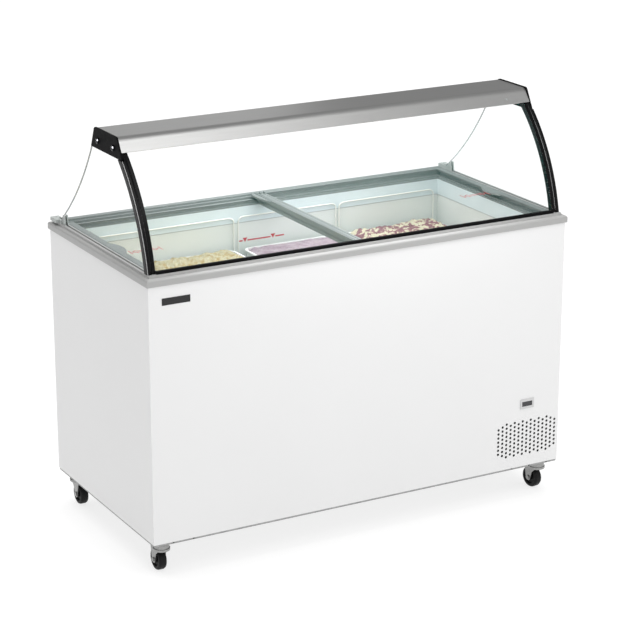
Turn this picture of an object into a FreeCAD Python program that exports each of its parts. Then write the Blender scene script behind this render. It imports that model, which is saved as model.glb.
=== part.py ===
"""Ice cream dipping cabinet: insulated chest on castors, sliding glass lids, curved glass canopy.

Millimetres. +Z is up, +X runs along the cabinet to the right of a customer at the front, +Y runs
to the back, so the front faces -Y. The origin is on the floor below the middle of the cabinet.
"""

import FreeCAD, Part
import math
import os
import re

import Sketcher

Vector = FreeCAD.Vector
Rotation = FreeCAD.Rotation

DIMENSIONS = [
    # shell
    ("body_length", 1327, "outside of the side panels"),
    ("body_depth", 660, "outside of the front and rear panels"),
    ("panel_bottom", 100, "lower edge of the painted panels"),
    ("panel_top", 833.5, "upper edge of the painted panels"),
    ("panel_gauge", 1.2, "painted steel sheet"),
    ("tray_bottom", 94, "underside of the base tray"),
    ("tray_gauge", 1.5, "base tray sheet"),
    ("tray_inset", 2, "base tray set back from the panels"),
    ("tray_notch", 5, "width of the notches in the tray's rim"),
    ("vent_length", 90, "air slot of the rear panel"),
    ("vent_height", 6, "air slot of the rear panel"),
    ("vent_pitch", 18, "between air slots"),
    ("vent_low", 200, "underside of the lowest air slot"),
    # liner and machine bay
    ("rail_width", 58, "trim rail, outside edge to liner"),
    ("trim_overhang", 5, "trim rail proud of the panels"),
    ("liner_gauge", 2, "liner wall"),
    ("liner_floor", 160, "inside floor of the deep part"),
    ("collar_bottom", 786, "lower edge of the liner's collar"),
    ("collar_gauge", 1.5, "liner collar"),
    ("hump_start", 343, "X of the step over the machine bay"),
    ("hump_floor", 440, "inside floor over the machine bay"),
    ("bay_start", 385, "X of the machine bay's wall"),
    ("bay_top", 398, "ceiling of the machine bay"),
    # grille and thermometer
    ("grille_middle_x", 551.6, "centre of the grille"),
    ("grille_middle_z", 190.5, "centre of the grille"),
    ("grille_pitch_x", 14.15, "between columns of holes"),
    ("grille_pitch_z", 12.8, "between holes of a column"),
    ("grille_hole", 8, "hole diameter"),
    ("display_x", 549.5, "centre of the thermometer"),
    ("display_z", 296, "centre of the thermometer"),
    ("display_length", 47, "thermometer bezel"),
    ("display_height", 29, "thermometer bezel"),
    ("display_window_length", 38, "thermometer window"),
    ("display_window_height", 17, "thermometer window"),
    ("display_lip", 2.5, "thermometer bezel proud of the panel"),
    ("display_depth", 14, "thermometer housing behind the panel's face"),
    ("screen_proud", 1.2, "thermometer screen proud of the panel"),
    ("screen_depth", 12, "back of the screen behind the panel's face"),
    ("display_frame", 2, "window less the screen's opening"),
    ("badge_gauge", 1, "name plate thickness"),
    ("badge_length", 83, "name plate, left blank"),
    ("badge_height", 19.5, "name plate"),
    ("badge_x", -583, "centre of the name plate"),
    ("badge_z", 788, "centre of the name plate"),
    # trim rail levels
    ("lip_top", 853.5, "top of the rounded outer lip"),
    ("band_top", 861, "raised band that the glass stands on"),
    ("upper_track", 855, "ledge of the upper lid"),
    ("lower_track", 843.5, "ledge of the lower lid"),
    ("inner_ledge", 838, "lowest ledge, beside the liner"),
    ("band_start", 13.5, "outside edge to the raised band"),
    ("band_end", 31, "outside edge to the upper ledge"),
    ("upper_end", 41, "outside edge to the lower ledge"),
    ("lower_end", 53, "outside edge to the lowest ledge"),
    ("lip_round", 7.5, "radius of the outer lip"),
    ("band_round", 1.2, "radius of the raised band's inner edge"),
    ("band_foot", 0.8, "rise of the lip up to the raised band"),
    ("band_ramp", 1, "length of that rise"),
    # sliding lids
    ("lid_play", 1.6, "gap between a lid and its track wall"),
    ("lid_rise", 0.3, "gap under a lid's runner"),
    ("lid_glass", 4, "lid glass thickness"),
    ("lid_overlap_left", -21, "inner end of the right, upper lid"),
    ("lid_overlap_right", 7, "inner end of the left, lower lid"),
    ("end_width", 27, "inner end bar of a lid"),
    ("groove_width", 3, "groove along the top of an inner end bar"),
    ("groove_depth", 1.4, "groove along the top of an inner end bar"),
    ("outer_width", 19, "outer end bar of a lid"),
    ("runner_width", 12, "lid runner"),
    ("glass_seat", 1, "underside of a lid's glass above the underside of its runners"),
    ("skirt_half", 268, "half length of the skirt under the lower lid's inner end"),
    ("skirt_gauge", 6, "skirt thickness"),
    ("skirt_depth", 8, "skirt below the lid"),
    ("flare_reach", 14, "how far the upper lid's inner end widens at its back"),
    ("flare_gauge", 7, "thickness of the widened part"),
    ("flare_start", 117, "where the widening starts, from the lid's rear edge"),
    ("flare_full", 62, "where it is full, from the lid's rear edge"),
    ("flare_corner", 12, "where it narrows again, from the lid's rear edge"),
    ("tab_front", 272, "front of the two tabs on the upper lid's inner end"),
    ("tab_back", 284, "back of the tabs"),
    ("tab_gauge", 3, "tab thickness"),
    ("tab_height", 5, "tab height"),
    ("upper_bar_top", 864.5, "top of the upper lid's inner end bar"),
    ("upper_end_top", 860.6, "top of the upper lid's outer end"),
    ("lower_bar_top", 854.6, "top of the lower lid's end bars"),
    ("runner_height", 5.2, "lid runner"),
    ("grip_radius", 99, "round front of the finger grip"),
    ("grip_reach", 17, "how far the finger grip stands in over the glass"),
    ("grip_y", -15, "centre of the finger grip"),
    # canopy
    ("arc_y", 218.9, "centre of the front glass's curve"),
    ("arc_z", 757.8, "centre of the front glass's curve"),
    ("arc_radius", 538.4, "outside of the front glass"),
    ("arc_start", 8, "degrees above the horizontal, below the foot of the glass"),
    ("arc_end", 49, "degrees, top edge of the glass under the header"),
    ("post_end", 49, "degrees, top of the edge posts under the header"),
    ("post_depth", 20, "edge post, front to back"),
    ("post_proud", 3.5, "outside of an edge post beyond the front glass"),
    ("post_play", 0.2, "gap between the front glass and an edge post"),
    ("pane_play", 0.3, "gap behind the foot strip and behind an edge post"),
    ("strip_front", 317, "front of the foot strip from the middle"),
    ("strip_back", 305, "back of the foot strip from the middle"),
    ("strip_height", 8.5, "foot strip"),
    ("front_glass", 5, "front glass thickness"),
    ("post_inside", 631, "X of the inner side of an edge post"),
    ("post_outside", 656, "X of the outer side of an edge post"),
    ("post_step", 641, "X where the post's rounded bar starts, outside its thin lip"),
    ("post_lip", 0.6, "outside of the lip beyond the front glass"),
    ("post_round", 6, "rounded edges of the post's bar"),
    ("side_glass_x", 643.5, "inner face of a side glass"),
    ("side_glass", 5, "side glass thickness"),
    ("rear_arc_radius", 900, "hollow rear edge of a side glass"),
    ("rear_arc_y", 826, "centre of the hollow rear edge"),
    ("rear_arc_z", 1588, "centre of the hollow rear edge"),
    ("side_glass_top", 1174, "top edge of a side glass, inside the end cap"),
    ("cover_half", 649, "half length of the header cover"),
    ("cover_top", 1192.5, "top of the header cover"),
    ("cover_gauge", 2, "header cover sheet"),
    ("cover_bend", 24, "outside radius of the header's front bend"),
    ("cover_rear_bend", 3, "outside radius of the header's rear bend"),
    ("cover_back", 10, "rear of the header cover behind the middle"),
    ("cover_hem", 15, "hem down the back of the header cover"),
    ("cover_front", 127, "corner of the header's front bend ahead of the middle"),
    ("cover_foot_y", 153, "lower edge of the header's slope ahead of the middle"),
    ("cover_foot_z", 1155.5, "lower edge of the header's slope"),
    ("cover_edge_y", 1.7, "cut edge of the slope, front to back"),
    ("cover_edge_z", 1.2, "cut edge of the slope, up and down"),
    ("cover_turn", 1, "inside of the front bend behind its outside"),
    ("cap_outside", 654, "X of a header cap's outer face"),
    ("cap_inside", 637, "X of the gusset's inner face"),
    ("cap_bottom", 1136.5, "lower edge of a header cap"),
    ("cap_corner", 9, "rounded corners of a header cap"),
    ("cap_rear_corner", 12, "rounded rear corner of a header cap"),
    ("cap_foot_corner", 2, "lower corners of a header cap"),
    ("cap_proud", 2, "header cap above the cover"),
    ("cap_back", 14, "top rear corner of a header cap behind the middle"),
    ("cap_front", 131, "top front corner of a header cap ahead of the middle"),
    ("cap_foot_back", 38, "lower rear corner of a header cap behind the middle"),
    ("cap_foot_front", 163, "lower front corner of a header cap ahead of the middle"),
    ("cap_play", 0.5, "gap between a header cap and its neighbours"),
    ("gusset_gap", 2, "top of the caps' gusset below the cover"),
    ("gusset_back", 6, "top of the gusset behind the middle"),
    ("gusset_front", 122, "top of the gusset ahead of the middle"),
    ("gusset_foot_front", 158, "foot of the gusset ahead of the middle"),
    ("gusset_foot_back", 34, "foot of the gusset behind the middle"),
    ("gusset_upright", 16, "upright part of the gusset's rear edge, below the cover"),
    ("cap_web_front", 105, "front of the web over the side pane"),
    ("cap_web_back", 2, "back of the web over the side pane"),
    ("bridge_reach", 0.4, "how far the plate's bridge reaches in under the cover"),
    ("bridge_front", 100, "front of the bridge ahead of the middle"),
    ("room_back", 60, "back of the room inside the cover"),
    ("room_front", 124, "front of the room inside the cover, at its top"),
    ("room_bottom", 1100, "bottom of the room inside the cover, at its back"),
    ("room_foot", 1135, "bottom of the room inside the cover, at its front"),
    ("room_width", 80, "length of that room along X"),
    ("gusset_play", 0.2, "gap between the gusset and a side pane"),
    ("screw_radius", 8.5, "cap screw's head"),
    ("screw_rim", 3, "straight rim of the screw's head"),
    ("screw_dome", 2.4, "dome on the screw's head"),
    ("screw_flat", 5.5, "radius of the dome's flat top"),
    ("cross_reach", 5, "half length of the cross slots"),
    ("cross_half", 0.9, "half width of the cross slots"),
    # header lamp
    ("lamp_half", 560, "half length of the lamp batten"),
    ("lamp_y", -42, "middle of the lamp"),
    ("lamp_width", 40, "lamp batten"),
    ("lamp_depth", 18, "lamp batten"),
    ("lamp_tube", 9, "radius of the lamp's tube"),
    ("lamp_tube_start", -540, "left end of the tube"),
    ("lamp_tube_end", 500, "right end of the tube"),
    ("tube_sink", 2, "axis of the tube above the batten's underside"),
    ("switch_x", 530, "middle of the rocker switch"),
    ("switch_half", 12, "half length of the switch's well"),
    ("switch_radius", 8, "radius of the switch's well"),
    ("switch_play", 0.4, "gap round the rocker"),
    ("switch_ridge", 10, "rocker's ridge below its axis"),
    ("ridge_half", 1.2, "half thickness of the rocker's ridge"),
    # rear brackets
    ("bracket_front", 266, "front of a rear bracket's block"),
    ("bracket_back", 320, "back of a rear bracket"),
    ("bracket_height", 10.5, "block above the raised band"),
    ("bracket_skirt", 278, "front of the bracket's outer skirt"),
    ("finger_front", 246, "front of the finger that holds the side pane"),
    ("finger_height", 28, "finger above the raised band"),
    ("finger_width", 12, "finger along X"),
    ("bracket_hole", 2.4, "radius of a bracket's screw hole"),
    ("bracket_wall", 3.5, "block inside the side pane"),
    ("bracket_step", 655.5, "X where the block ends and its skirt starts"),
    ("bracket_inset", 3, "skirt back from the trim's edge"),
    ("finger_upright", 12, "upright part of the finger's rear edge"),
    ("finger_lean_back", 7, "how far the finger's rear edge leans in at its tip"),
    ("finger_lean_front", 5, "how far its front edge leans in"),
    ("finger_round", 3, "rounded corners of the tip"),
    ("slot_play", 0.1, "gap on either side of the pane in its slot"),
    ("slot_end", 300, "rear end of the slot"),
    ("hole_floor", 4, "floor of a screw hole above the raised band"),
    ("hole_middle", 651.5, "X of the screw holes"),
    # pans
    ("rack_wire", 4, "hoop wire diameter"),
    ("rack_rod", 3.5, "floor rod diameter"),
    ("rack_weld", 0.75, "how far a floor rod is sunk into the hoops it is welded on"),
    ("rack_rods", 55, "about the distance between floor rods"),
    ("rack_top", 806.5, "top of a rack's hoops"),
    ("rack_bottom", 592.25, "underside of a rack"),
    ("rack_y", 270, "hoop plane from the middle"),
    ("rack_corner", 16, "bend radius of a hoop"),
    ("pan_length", 322, "rim of a tub"),
    ("pan_width", 164, "rim of a tub"),
    ("pan_height", 112, "tub height"),
    ("pan_rim", 5, "width of the tub's rim"),
    ("pan_wall", 2, "tub wall"),
    ("pan_corner", 22, "tub corner radius"),
    ("pan_pitch", 176, "between rows of tubs"),
    ("pan_top", 711, "rim level"),
    ("pan_rim_gauge", 3, "thickness of the tub's rim"),
    ("filling_play", 0.1, "gap between a filling and its tub's wall"),
    ("filling_drop", 1, "filling below the rim"),
    ("side_pan_x", -524, "middle of the tub that is turned along the left end"),
    ("side_pan_y", 95, "middle of the turned tub"),
    # castors
    ("castor_x", 622, "swivel axis from the middle"),
    ("castor_y", 288, "swivel axis from the middle"),
    ("castor_plate", 60, "square top plate"),
    ("plate_gauge", 2.5, "top plate"),
    ("bolt_place", 24, "bolts of the top plate from its middle"),
    ("bolt_radius", 3.5, "bolt heads below the top plate"),
    ("bolt_head", 1, "height of those heads"),
    ("race_height", 7.2, "fixed race below the top plate"),
    ("race_bottom_radius", 22, "fixed race at the fork's crown"),
    ("race_top_radius", 26, "fixed race at the top plate"),
    ("rivet_head", 9, "radius of the swivel rivet's head"),
    ("rivet_bottom", 68, "underside of the swivel rivet's head"),
    ("rivet_play", 0.4, "gap between the rivet's head and the crown"),
    ("race_play", 0.3, "gap between the fixed race and the crown"),
    ("crown_bottom", 72, "underside of the fork's crown"),
    ("ring_radius", 24, "outside of the crown's ring"),
    ("ring_inside", 19, "inside of the crown's ring"),
    ("ring_bottom", 66, "lower edge of the crown's ring"),
    ("ring_sink", 0.5, "how far the ring runs up into the crown"),
    ("wheel_radius", 32, "tread radius"),
    ("wheel_width", 24, "tread width"),
    ("boss_proud", 1, "hub's boss beyond the tyre's side"),
    ("boss_radius", 9, "boss at its face"),
    ("boss_foot", 10, "boss at the web"),
    ("web_recess", 5, "web behind the tyre's side"),
    ("web_radius", 20, "outer edge of the web"),
    ("rim_recess", 1, "rim behind the tyre's side"),
    ("rim_radius", 21.5, "rim"),
    ("side_wall_radius", 24, "inner edge of the tyre's flat side"),
    ("tread_round", 5, "rounded edge of the tread"),
    ("shoulder_across", 1.5, "middle of that edge, in from the side"),
    ("shoulder_drop", 1.8, "middle of that edge, below the tread"),
    ("trail", 20, "wheel axis behind the swivel axis"),
    ("axle_radius", 4, "wheel bolt"),
    ("running_gap", 0.06, "radial clearance of a turning fit"),
    ("kingpin_radius", 5, "swivel rivet"),
    ("kingpin_reach", 1.5, "how far the rivet runs down into its head"),
    ("fork_gauge", 2.5, "fork cheek"),
    ("fork_gap", 13.5, "middle of the fork to the inside of a cheek"),
    ("cheek_foot", 22, "lower end of a cheek"),
    ("cheek_front", 12, "front of a cheek ahead of the swivel axis"),
    ("cheek_crown", 74, "top of a cheek's front"),
    ("cheek_knee_y", 4, "knee of a cheek's front edge"),
    ("cheek_knee_z", 52, "knee of a cheek's front edge"),
    ("cheek_half", 10, "half width of a cheek at the axle"),
    ("foot_half_width", 6, "half width of a cheek's foot"),
    ("cheek_round", 5, "rounded foot"),
    ("cheek_back", 36, "back of a cheek behind the swivel axis"),
    ("cheek_top", 78, "top of a cheek's back"),
    ("cheek_shoulder", 18, "where that top starts"),
    ("axle_play", 0.02, "radial clearance of the bolt in the cheeks"),
    ("axle_half", 18.5, "half length of the wheel bolt's shank"),
    ("axle_head", 6.5, "radius of the bolt's head"),
    ("axle_nut", 6, "radius of the bolt's nut"),
    ("head_height", 3, "bolt's head"),
    ("nut_height", 3.5, "bolt's nut"),
    ("pedal_pin_radius", 2, "pin of the brake pedal"),
    ("pedal_pin_y", 31, "pedal's pin behind the swivel axis"),
    ("pedal_pin_z", 72, "pedal's pin"),
    ("pedal_width", 24, "brake pedal"),
    ("pedal_round", 2, "rounded end of the pedal"),
    ("pedal_lip_round", 1.5, "rounded lip of the pedal"),
    # compressor and condenser
    ("bay_left", 440, "left end of the compressor's foot and of the condenser"),
    ("bay_machine_right", 620, "right end of the compressor's foot"),
    ("compressor_x", 530, "axis of the compressor"),
    ("compressor_y", 130, "axis of the compressor"),
    ("compressor_radius", 72, "can of the compressor"),
    ("compressor_height", 118, "straight part of the can"),
    ("compressor_dome", 38, "height of its domed ends"),
    ("compressor_foot", 12, "thickness of the foot"),
    ("foot_half", 60, "half width of the foot"),
    ("condenser_right", 642, "right end of the condenser"),
    ("condenser_front", -295, "front of the condenser"),
    ("condenser_back", -245, "back of the condenser"),
    ("condenser_height", 190, "condenser"),
    ("condenser_tube", 5, "radius of the condenser's tubes"),
    ("tube_reach", 6, "how far the tubes stand out of the fins"),
    ("tube_inset", 13, "tubes inside the condenser's faces"),
    # fan
    ("fan_x", 540, "fan axis"),
    ("fan_z", 205, "fan axis"),
    ("fan_y", -185, "middle plane of the blades"),
    ("fan_radius", 70, "blade tips"),
    ("blade_gauge", 2, "blade thickness"),
    ("blade_width", 42, "blade chord"),
    ("hub_radius", 18, "fan hub"),
    ("hub_half", 12, "half thickness of the hub"),
    ("shaft_radius", 3, "motor shaft"),
    ("shaft_inset", 2, "shaft's end inside the hub"),
    ("motor_radius", 30, "motor can"),
    ("motor_start", 20, "front of the motor behind the blades' middle plane"),
    ("motor_length", 50, "motor can"),
    ("stand_start", 40, "motor's stand behind the blades' middle plane"),
    ("stand_gauge", 3, "motor's stand"),
    # power inlet
    ("gland_bore", 5, "radius of the cord's hole"),
    ("gland_wall", 5, "thickness of the gland's barrel"),
    ("gland_play", 0.4, "radial gap round the barrel in the rear panel"),
    ("gland_x", 600, "power inlet"),
    ("gland_z", 140, "power inlet"),
    ("flange_radius", 15, "gland's flange"),
    ("flange_gauge", 4.5, "gland's flange"),
    ("barrel_length", 16, "gland's barrel inside the rear panel's face"),
    # construction
    ("overcut", 1, "how far a cutting or joining shape runs past a face"),
]

doc = FreeCAD.newDocument("dipping_cabinet")
sheet = doc.addObject("Spreadsheet::Sheet", "Dims")
for row, (alias, value, note) in enumerate(DIMENSIONS, 1):
    sheet.set(f"A{row}", alias)
    sheet.set(f"B{row}", str(value))
    sheet.setAlias(f"B{row}", alias)
    sheet.set(f"C{row}", note)
doc.recompute()

FACING = {
    "z": Rotation(),
    "x": Rotation(Vector(0, 1, 0), 90),
    "y": Rotation(Vector(1, 0, 0), -90),
}
SAME = 0.01  # two coordinates closer than this are the same
nodes = []


def size(alias):
    """One driving dimension as a number."""
    return float(sheet.get(alias))


def formula(text):
    """An expression for the document: each dimension's name gets the sheet's name before it."""
    return re.sub(r"[a-z_]{4,}", lambda word: "Dims." + word.group(), str(text))


def number(text):
    """The value of a formula."""
    plain = re.sub(r"[a-z_]{4,}", lambda word: str(size(word.group())), str(text))
    return FreeCAD.Units.Quantity(plain).Value


def bind(thing, **properties):
    """Ties properties of a document object to formulas in the driving dimensions."""
    for name, text in properties.items():
        thing.setExpression(name.replace("__", "."), formula(text))


def place(thing, x=0, y=0, z=0, turn=None):
    """Puts an object at a place given by formulas, turned by a fixed rotation."""
    thing.Placement = FreeCAD.Placement(Vector(), turn or Rotation())
    bind(thing, Placement__Base__x=x, Placement__Base__y=y, Placement__Base__z=z)
    return thing


def box(x0, x1, y0, y1, z0, z1):
    """A block between pairs of formulas."""
    block = doc.addObject("Part::Box", "Block")
    bind(block, Length=f"({x1}) - ({x0})", Width=f"({y1}) - ({y0})", Height=f"({z1}) - ({z0})")
    return place(block, x0, y0, z0)


def rod(radius, start, end, axis, u, v):
    """A round bar along an axis, from start to end.

    u and v are its other two coordinates, in X, Y, Z order."""
    bar = doc.addObject("Part::Cylinder", "Rod")
    bind(bar, Radius=radius, Height=f"({end}) - ({start})")
    at = {"x": (start, u, v), "y": (u, start, v), "z": (u, v, start)}[axis]
    return place(bar, *at, turn=FACING[axis])


def fuse(*shapes):
    """One solid from touching or overlapping shapes."""
    union = doc.addObject("Part::MultiFuse", "Union")
    union.Shapes = list(shapes)
    union.Refine = True
    return union


def cut(base, *tools):
    """The base less the tools."""
    result = doc.addObject("Part::Cut", "Difference")
    result.Base = base
    result.Tool = tools[0] if len(tools) == 1 else fuse(*tools)
    return result


def common(first, second):
    """What two shapes share."""
    result = doc.addObject("Part::MultiCommon", "Overlap")
    result.Shapes = [first, second]
    return result


def group(shapes):
    """Separate solids in one node."""
    compound = doc.addObject("Part::Compound", "Group")
    compound.Links = list(shapes)
    return compound


def mirrored(shape):
    """The same piece for the other end of the cabinet."""
    twin = doc.addObject("Part::Mirroring", "Mirrored")
    twin.Source = shape
    twin.Normal = Vector(1, 0, 0)
    return twin


def origin_plane(body, role):
    """One of a body's own three base planes."""
    return next(feature for feature in body.Origin.OriginFeatures if feature.Role == role)


def outline(body, role, points):
    """A closed sketch through corner points whose coordinates are formulas."""
    sketch = body.newObject("Sketcher::SketchObject", "Outline")
    sketch.AttachmentSupport = [(origin_plane(body, role), "")]
    sketch.MapMode = "FlatFace"
    corners = [Vector(number(x), number(y), 0) for x, y in points]
    count = len(corners)
    for index in range(count):
        sketch.addGeometry(Part.LineSegment(corners[index], corners[(index + 1) % count]))
    for index in range(count):
        sketch.addConstraint(Sketcher.Constraint("Coincident", index, 2, (index + 1) % count, 1))
    for index, (x, y) in enumerate(points):
        for kind, text, value in (("DistanceX", x, corners[index].x), ("DistanceY", y, corners[index].y)):
            constraint = sketch.addConstraint(Sketcher.Constraint(kind, -1, 1, index, 1, value))
            sketch.setExpression(f"Constraints[{constraint}]", formula(text))
    return sketch


def pad(points, role, thickness, rounded=()):
    """A body padded both ways from an outline on one of its planes, with some long edges rounded.

    rounded lists (corner index, radius formula)."""
    body = doc.addObject("PartDesign::Body", "Body")
    sketch = outline(body, role, points)
    solid = body.newObject("PartDesign::Pad", "Pad")
    solid.Profile = sketch
    solid.Midplane = True
    bind(solid, Length=thickness)
    doc.recompute()
    for corner, radius in rounded:
        solid = round_edge(body, solid, role, [number(c) for c in points[corner]], radius)
    return body


def round_edge(body, solid, role, corner, radius):
    """Rounds the long edge of a padded outline that stands on one of its corners."""
    along = {"XY_Plane": 2, "XZ_Plane": 1, "YZ_Plane": 0}[role]
    across = [axis for axis in range(3) if axis != along]
    names = []
    for index, edge in enumerate(solid.Shape.Edges, 1):
        ends = [vertex.Point for vertex in edge.Vertexes]
        if all(abs(end[axis] - value) < SAME for end in ends for axis, value in zip(across, corner)):
            names.append(f"Edge{index}")
    fillet = body.newObject("PartDesign::Fillet", "Fillet")
    fillet.Base = (solid, names)
    bind(fillet, Radius=radius)
    doc.recompute()
    return fillet


def keep(shape, name):
    """Names a finished sub-part, whose label is its file's name."""
    shape.Label = name
    nodes.append(shape)
    return shape


# Painted shell ------------------------------------------------------------------------------------

def front_panel():
    """Front sheet with its grille of staggered round holes and the thermometer's window."""
    columns, short, middling, full = 15, 7, 8, 9
    body = pad(
        [("-body_length/2", "panel_bottom"), ("body_length/2", "panel_bottom"),
         ("body_length/2", "panel_top"), ("-body_length/2", "panel_top")],
        "XZ_Plane", "panel_gauge")
    holes = body.newObject("Sketcher::SketchObject", "Holes")
    holes.AttachmentSupport = [(origin_plane(body, "XZ_Plane"), "")]
    holes.MapMode = "FlatFace"
    for column in range(columns):
        from_edge = min(column, columns - 1 - column)
        count = short if from_edge == 0 else middling if from_edge % 2 else full
        x = size("grille_middle_x") + (column - (columns - 1) / 2) * size("grille_pitch_x")
        for row in range(count):
            z = size("grille_middle_z") + (row - (count - 1) / 2) * size("grille_pitch_z")
            circle = Part.Circle(Vector(x, z, 0), Vector(0, 0, 1), size("grille_hole") / 2)
            index = holes.addGeometry(circle)
            if index:
                holes.addConstraint(Sketcher.Constraint("Equal", 0, index))
    diameter = holes.addConstraint(Sketcher.Constraint("Diameter", 0, size("grille_hole")))
    holes.setExpression(f"Constraints[{diameter}]", "Dims.grille_hole")
    grille = body.newObject("PartDesign::Pocket", "Grille")
    grille.Profile = holes
    grille.Midplane = True
    bind(grille, Length="4 * panel_gauge")
    place(body, y="-(body_depth - panel_gauge)/2")
    window = box("display_x - display_window_length/2", "display_x + display_window_length/2",
                 "-body_depth", "0",
                 "display_z - display_window_height/2", "display_z + display_window_height/2")
    keep(cut(body, window), "front_panel")


def side_panels():
    """Plain sheets between the front and rear panels."""
    left = box("-body_length/2", "panel_gauge - body_length/2",
               "panel_gauge - body_depth/2", "body_depth/2 - panel_gauge", "panel_bottom", "panel_top")
    keep(left, "side_panel_left")
    right = box("body_length/2 - panel_gauge", "body_length/2",
                "panel_gauge - body_depth/2", "body_depth/2 - panel_gauge", "panel_bottom", "panel_top")
    keep(right, "side_panel_right")


VENT_COLUMNS = [420, 530]
VENT_ROWS = 9


def rear_panel():
    """Rear sheet with slots for the machine bay's air and a hole for the power inlet."""
    back = box("-body_length/2", "body_length/2", "body_depth/2 - panel_gauge", "body_depth/2",
               "panel_bottom", "panel_top")
    openings = []
    for x in VENT_COLUMNS:
        for index in range(VENT_ROWS):
            low = f"vent_low + {index} * vent_pitch"
            openings.append(box(x, f"{x} + vent_length", "0", "body_depth", low, f"{low} + vent_height"))
    openings.append(rod("gland_bore + gland_wall + gland_play", "0", "body_depth", "y",
                        "gland_x", "gland_z"))
    keep(cut(back, *openings), "rear_panel")


TRAY_NOTCHES = [-606, -545, 500, 563, 625]


def base_tray():
    """Shallow galvanised tray under the foam, its rim notched along the front and the back."""
    edge_x, edge_y = "(body_length/2 - tray_inset)", "(body_depth/2 - tray_inset)"
    outside = box(f"-{edge_x}", edge_x, f"-{edge_y}", edge_y, "tray_bottom", "panel_bottom")
    inside = box(f"tray_gauge - {edge_x}", f"{edge_x} - tray_gauge", f"tray_gauge - {edge_y}",
                 f"{edge_y} - tray_gauge", "tray_bottom + tray_gauge", "panel_bottom + overcut")
    notches = [box(x, f"{x} + tray_notch", "-body_depth", "body_depth",
                   "tray_bottom + tray_gauge", "panel_bottom + overcut")
               for x in TRAY_NOTCHES]
    keep(cut(outside, inside, *notches), "base_tray")


LINER_X = "(body_length/2 + trim_overhang - rail_width)"
LINER_Y = "(body_depth/2 + trim_overhang - rail_width)"


def liner_block(grow):
    """The stepped box of the liner: the inside at grow 0, the outside at grow liner_gauge."""
    half_x, half_y = f"({LINER_X} + {grow})", f"({LINER_Y} + {grow})"
    deep = box(f"-{half_x}", f"hump_start + {grow}", f"-{half_y}", half_y,
               f"liner_floor - {grow}", "panel_top")
    shallow = box("0", half_x, f"-{half_y}", half_y, f"hump_floor - {grow}", "panel_top")
    return fuse(deep, shallow)


def liner_and_foam():
    """Inner liner with its raised floor over the machine bay, and the foam around it."""
    keep(cut(liner_block("liner_gauge"), liner_block("0")), "inner_liner")
    inside_x, inside_y = "(body_length/2 - panel_gauge)", "(body_depth/2 - panel_gauge)"
    foam = box(f"-{inside_x}", inside_x, f"-{inside_y}", inside_y, "panel_bottom", "panel_top")
    bay = box("bay_start", inside_x, f"-{inside_y}", inside_y, "panel_bottom", "bay_top")
    keep(cut(foam, liner_block("liner_gauge"), bay), "foam_insulation")


def liner_collar():
    """Moulded collar that lines the top of the liner's walls."""
    outside = box(f"-{LINER_X}", LINER_X, f"-{LINER_Y}", LINER_Y, "collar_bottom", "panel_top")
    inside = box(f"collar_gauge - {LINER_X}", f"{LINER_X} - collar_gauge",
                 f"collar_gauge - {LINER_Y}", f"{LINER_Y} - collar_gauge",
                 "collar_bottom - overcut", "panel_top + overcut")
    keep(cut(outside, inside), "liner_collar")


# Trim rails ---------------------------------------------------------------------------------------

def rail(name, half_span, half_length, angle):
    """A mitred rail: rounded outer lip, raised band and three ledges that step down to the liner.

    It is made as the front rail, half_span from the middle, and turned about the vertical."""
    def across(distance):
        return f"{distance} - ({half_span})"

    profile = [
        (across("0"), "panel_top"), (across("0"), "lip_top"),
        (across("band_start - band_ramp"), "lip_top + band_foot"), (across("band_start"), "band_top"),
        (across("band_end"), "band_top"), (across("band_end"), "upper_track"),
        (across("upper_end"), "upper_track"), (across("upper_end"), "lower_track"),
        (across("lower_end"), "lower_track"), (across("lower_end"), "inner_ledge"),
        (across("rail_width"), "inner_ledge"), (across("rail_width"), "panel_top"),
    ]
    body = pad(profile, "YZ_Plane", f"2 * ({half_length})", rounded=[(1, "lip_round"), (4, "band_round")])
    mitre = outline(body, "XY_Plane", [
        (f"-({half_length}) - overcut", f"-overcut - ({half_span})"),
        (f"-({half_length})", f"-({half_span})"),
        (f"rail_width - ({half_length})", f"rail_width - ({half_span})"),
        (f"rail_width - ({half_length})", f"rail_width - ({half_span}) + overcut"),
        (f"-({half_length}) - overcut", f"rail_width - ({half_span}) + overcut"),
    ])
    corner = body.newObject("PartDesign::Pocket", "Mitre")
    corner.Profile = mitre
    corner.Midplane = True
    bind(corner, Length="4 * panel_top")
    doc.recompute()
    both = body.newObject("PartDesign::Mirrored", "OtherMitre")
    both.Originals = [corner]
    both.MirrorPlane = (origin_plane(body, "YZ_Plane"), [""])
    body.Tip = both
    place(body, turn=Rotation(Vector(0, 0, 1), angle))
    keep(body, name)


def rails():
    """Four rails round the top of the cabinet."""
    half_x, half_y = "body_length/2 + trim_overhang", "body_depth/2 + trim_overhang"
    rail("trim_rail_front", half_y, half_x, 0)
    rail("trim_rail_right", half_x, half_y, 90)
    rail("trim_rail_rear", half_y, half_x, 180)
    rail("trim_rail_left", half_x, half_y, 270)


# Sliding lids -------------------------------------------------------------------------------------

def finger_grip(bar_edge, low, high, side):
    """A round-fronted tab on a lid's outer end; side is -1 for the left lid and 1 for the right."""
    middle = f"{bar_edge} + {side} * (grip_radius - grip_reach)"
    disc = rod("grip_radius", low, high, "z", middle, "grip_y")
    ends = [f"{bar_edge} - {side} * grip_radius", f"{bar_edge} + {side} * overcut"]
    inward = box(*(ends if side > 0 else reversed(ends)),
                 "grip_y - grip_radius", "grip_y + grip_radius", low, high)
    return common(disc, inward)


TAB_PLACES = [-13, 1]
GROOVES = [4, 17]


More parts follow.
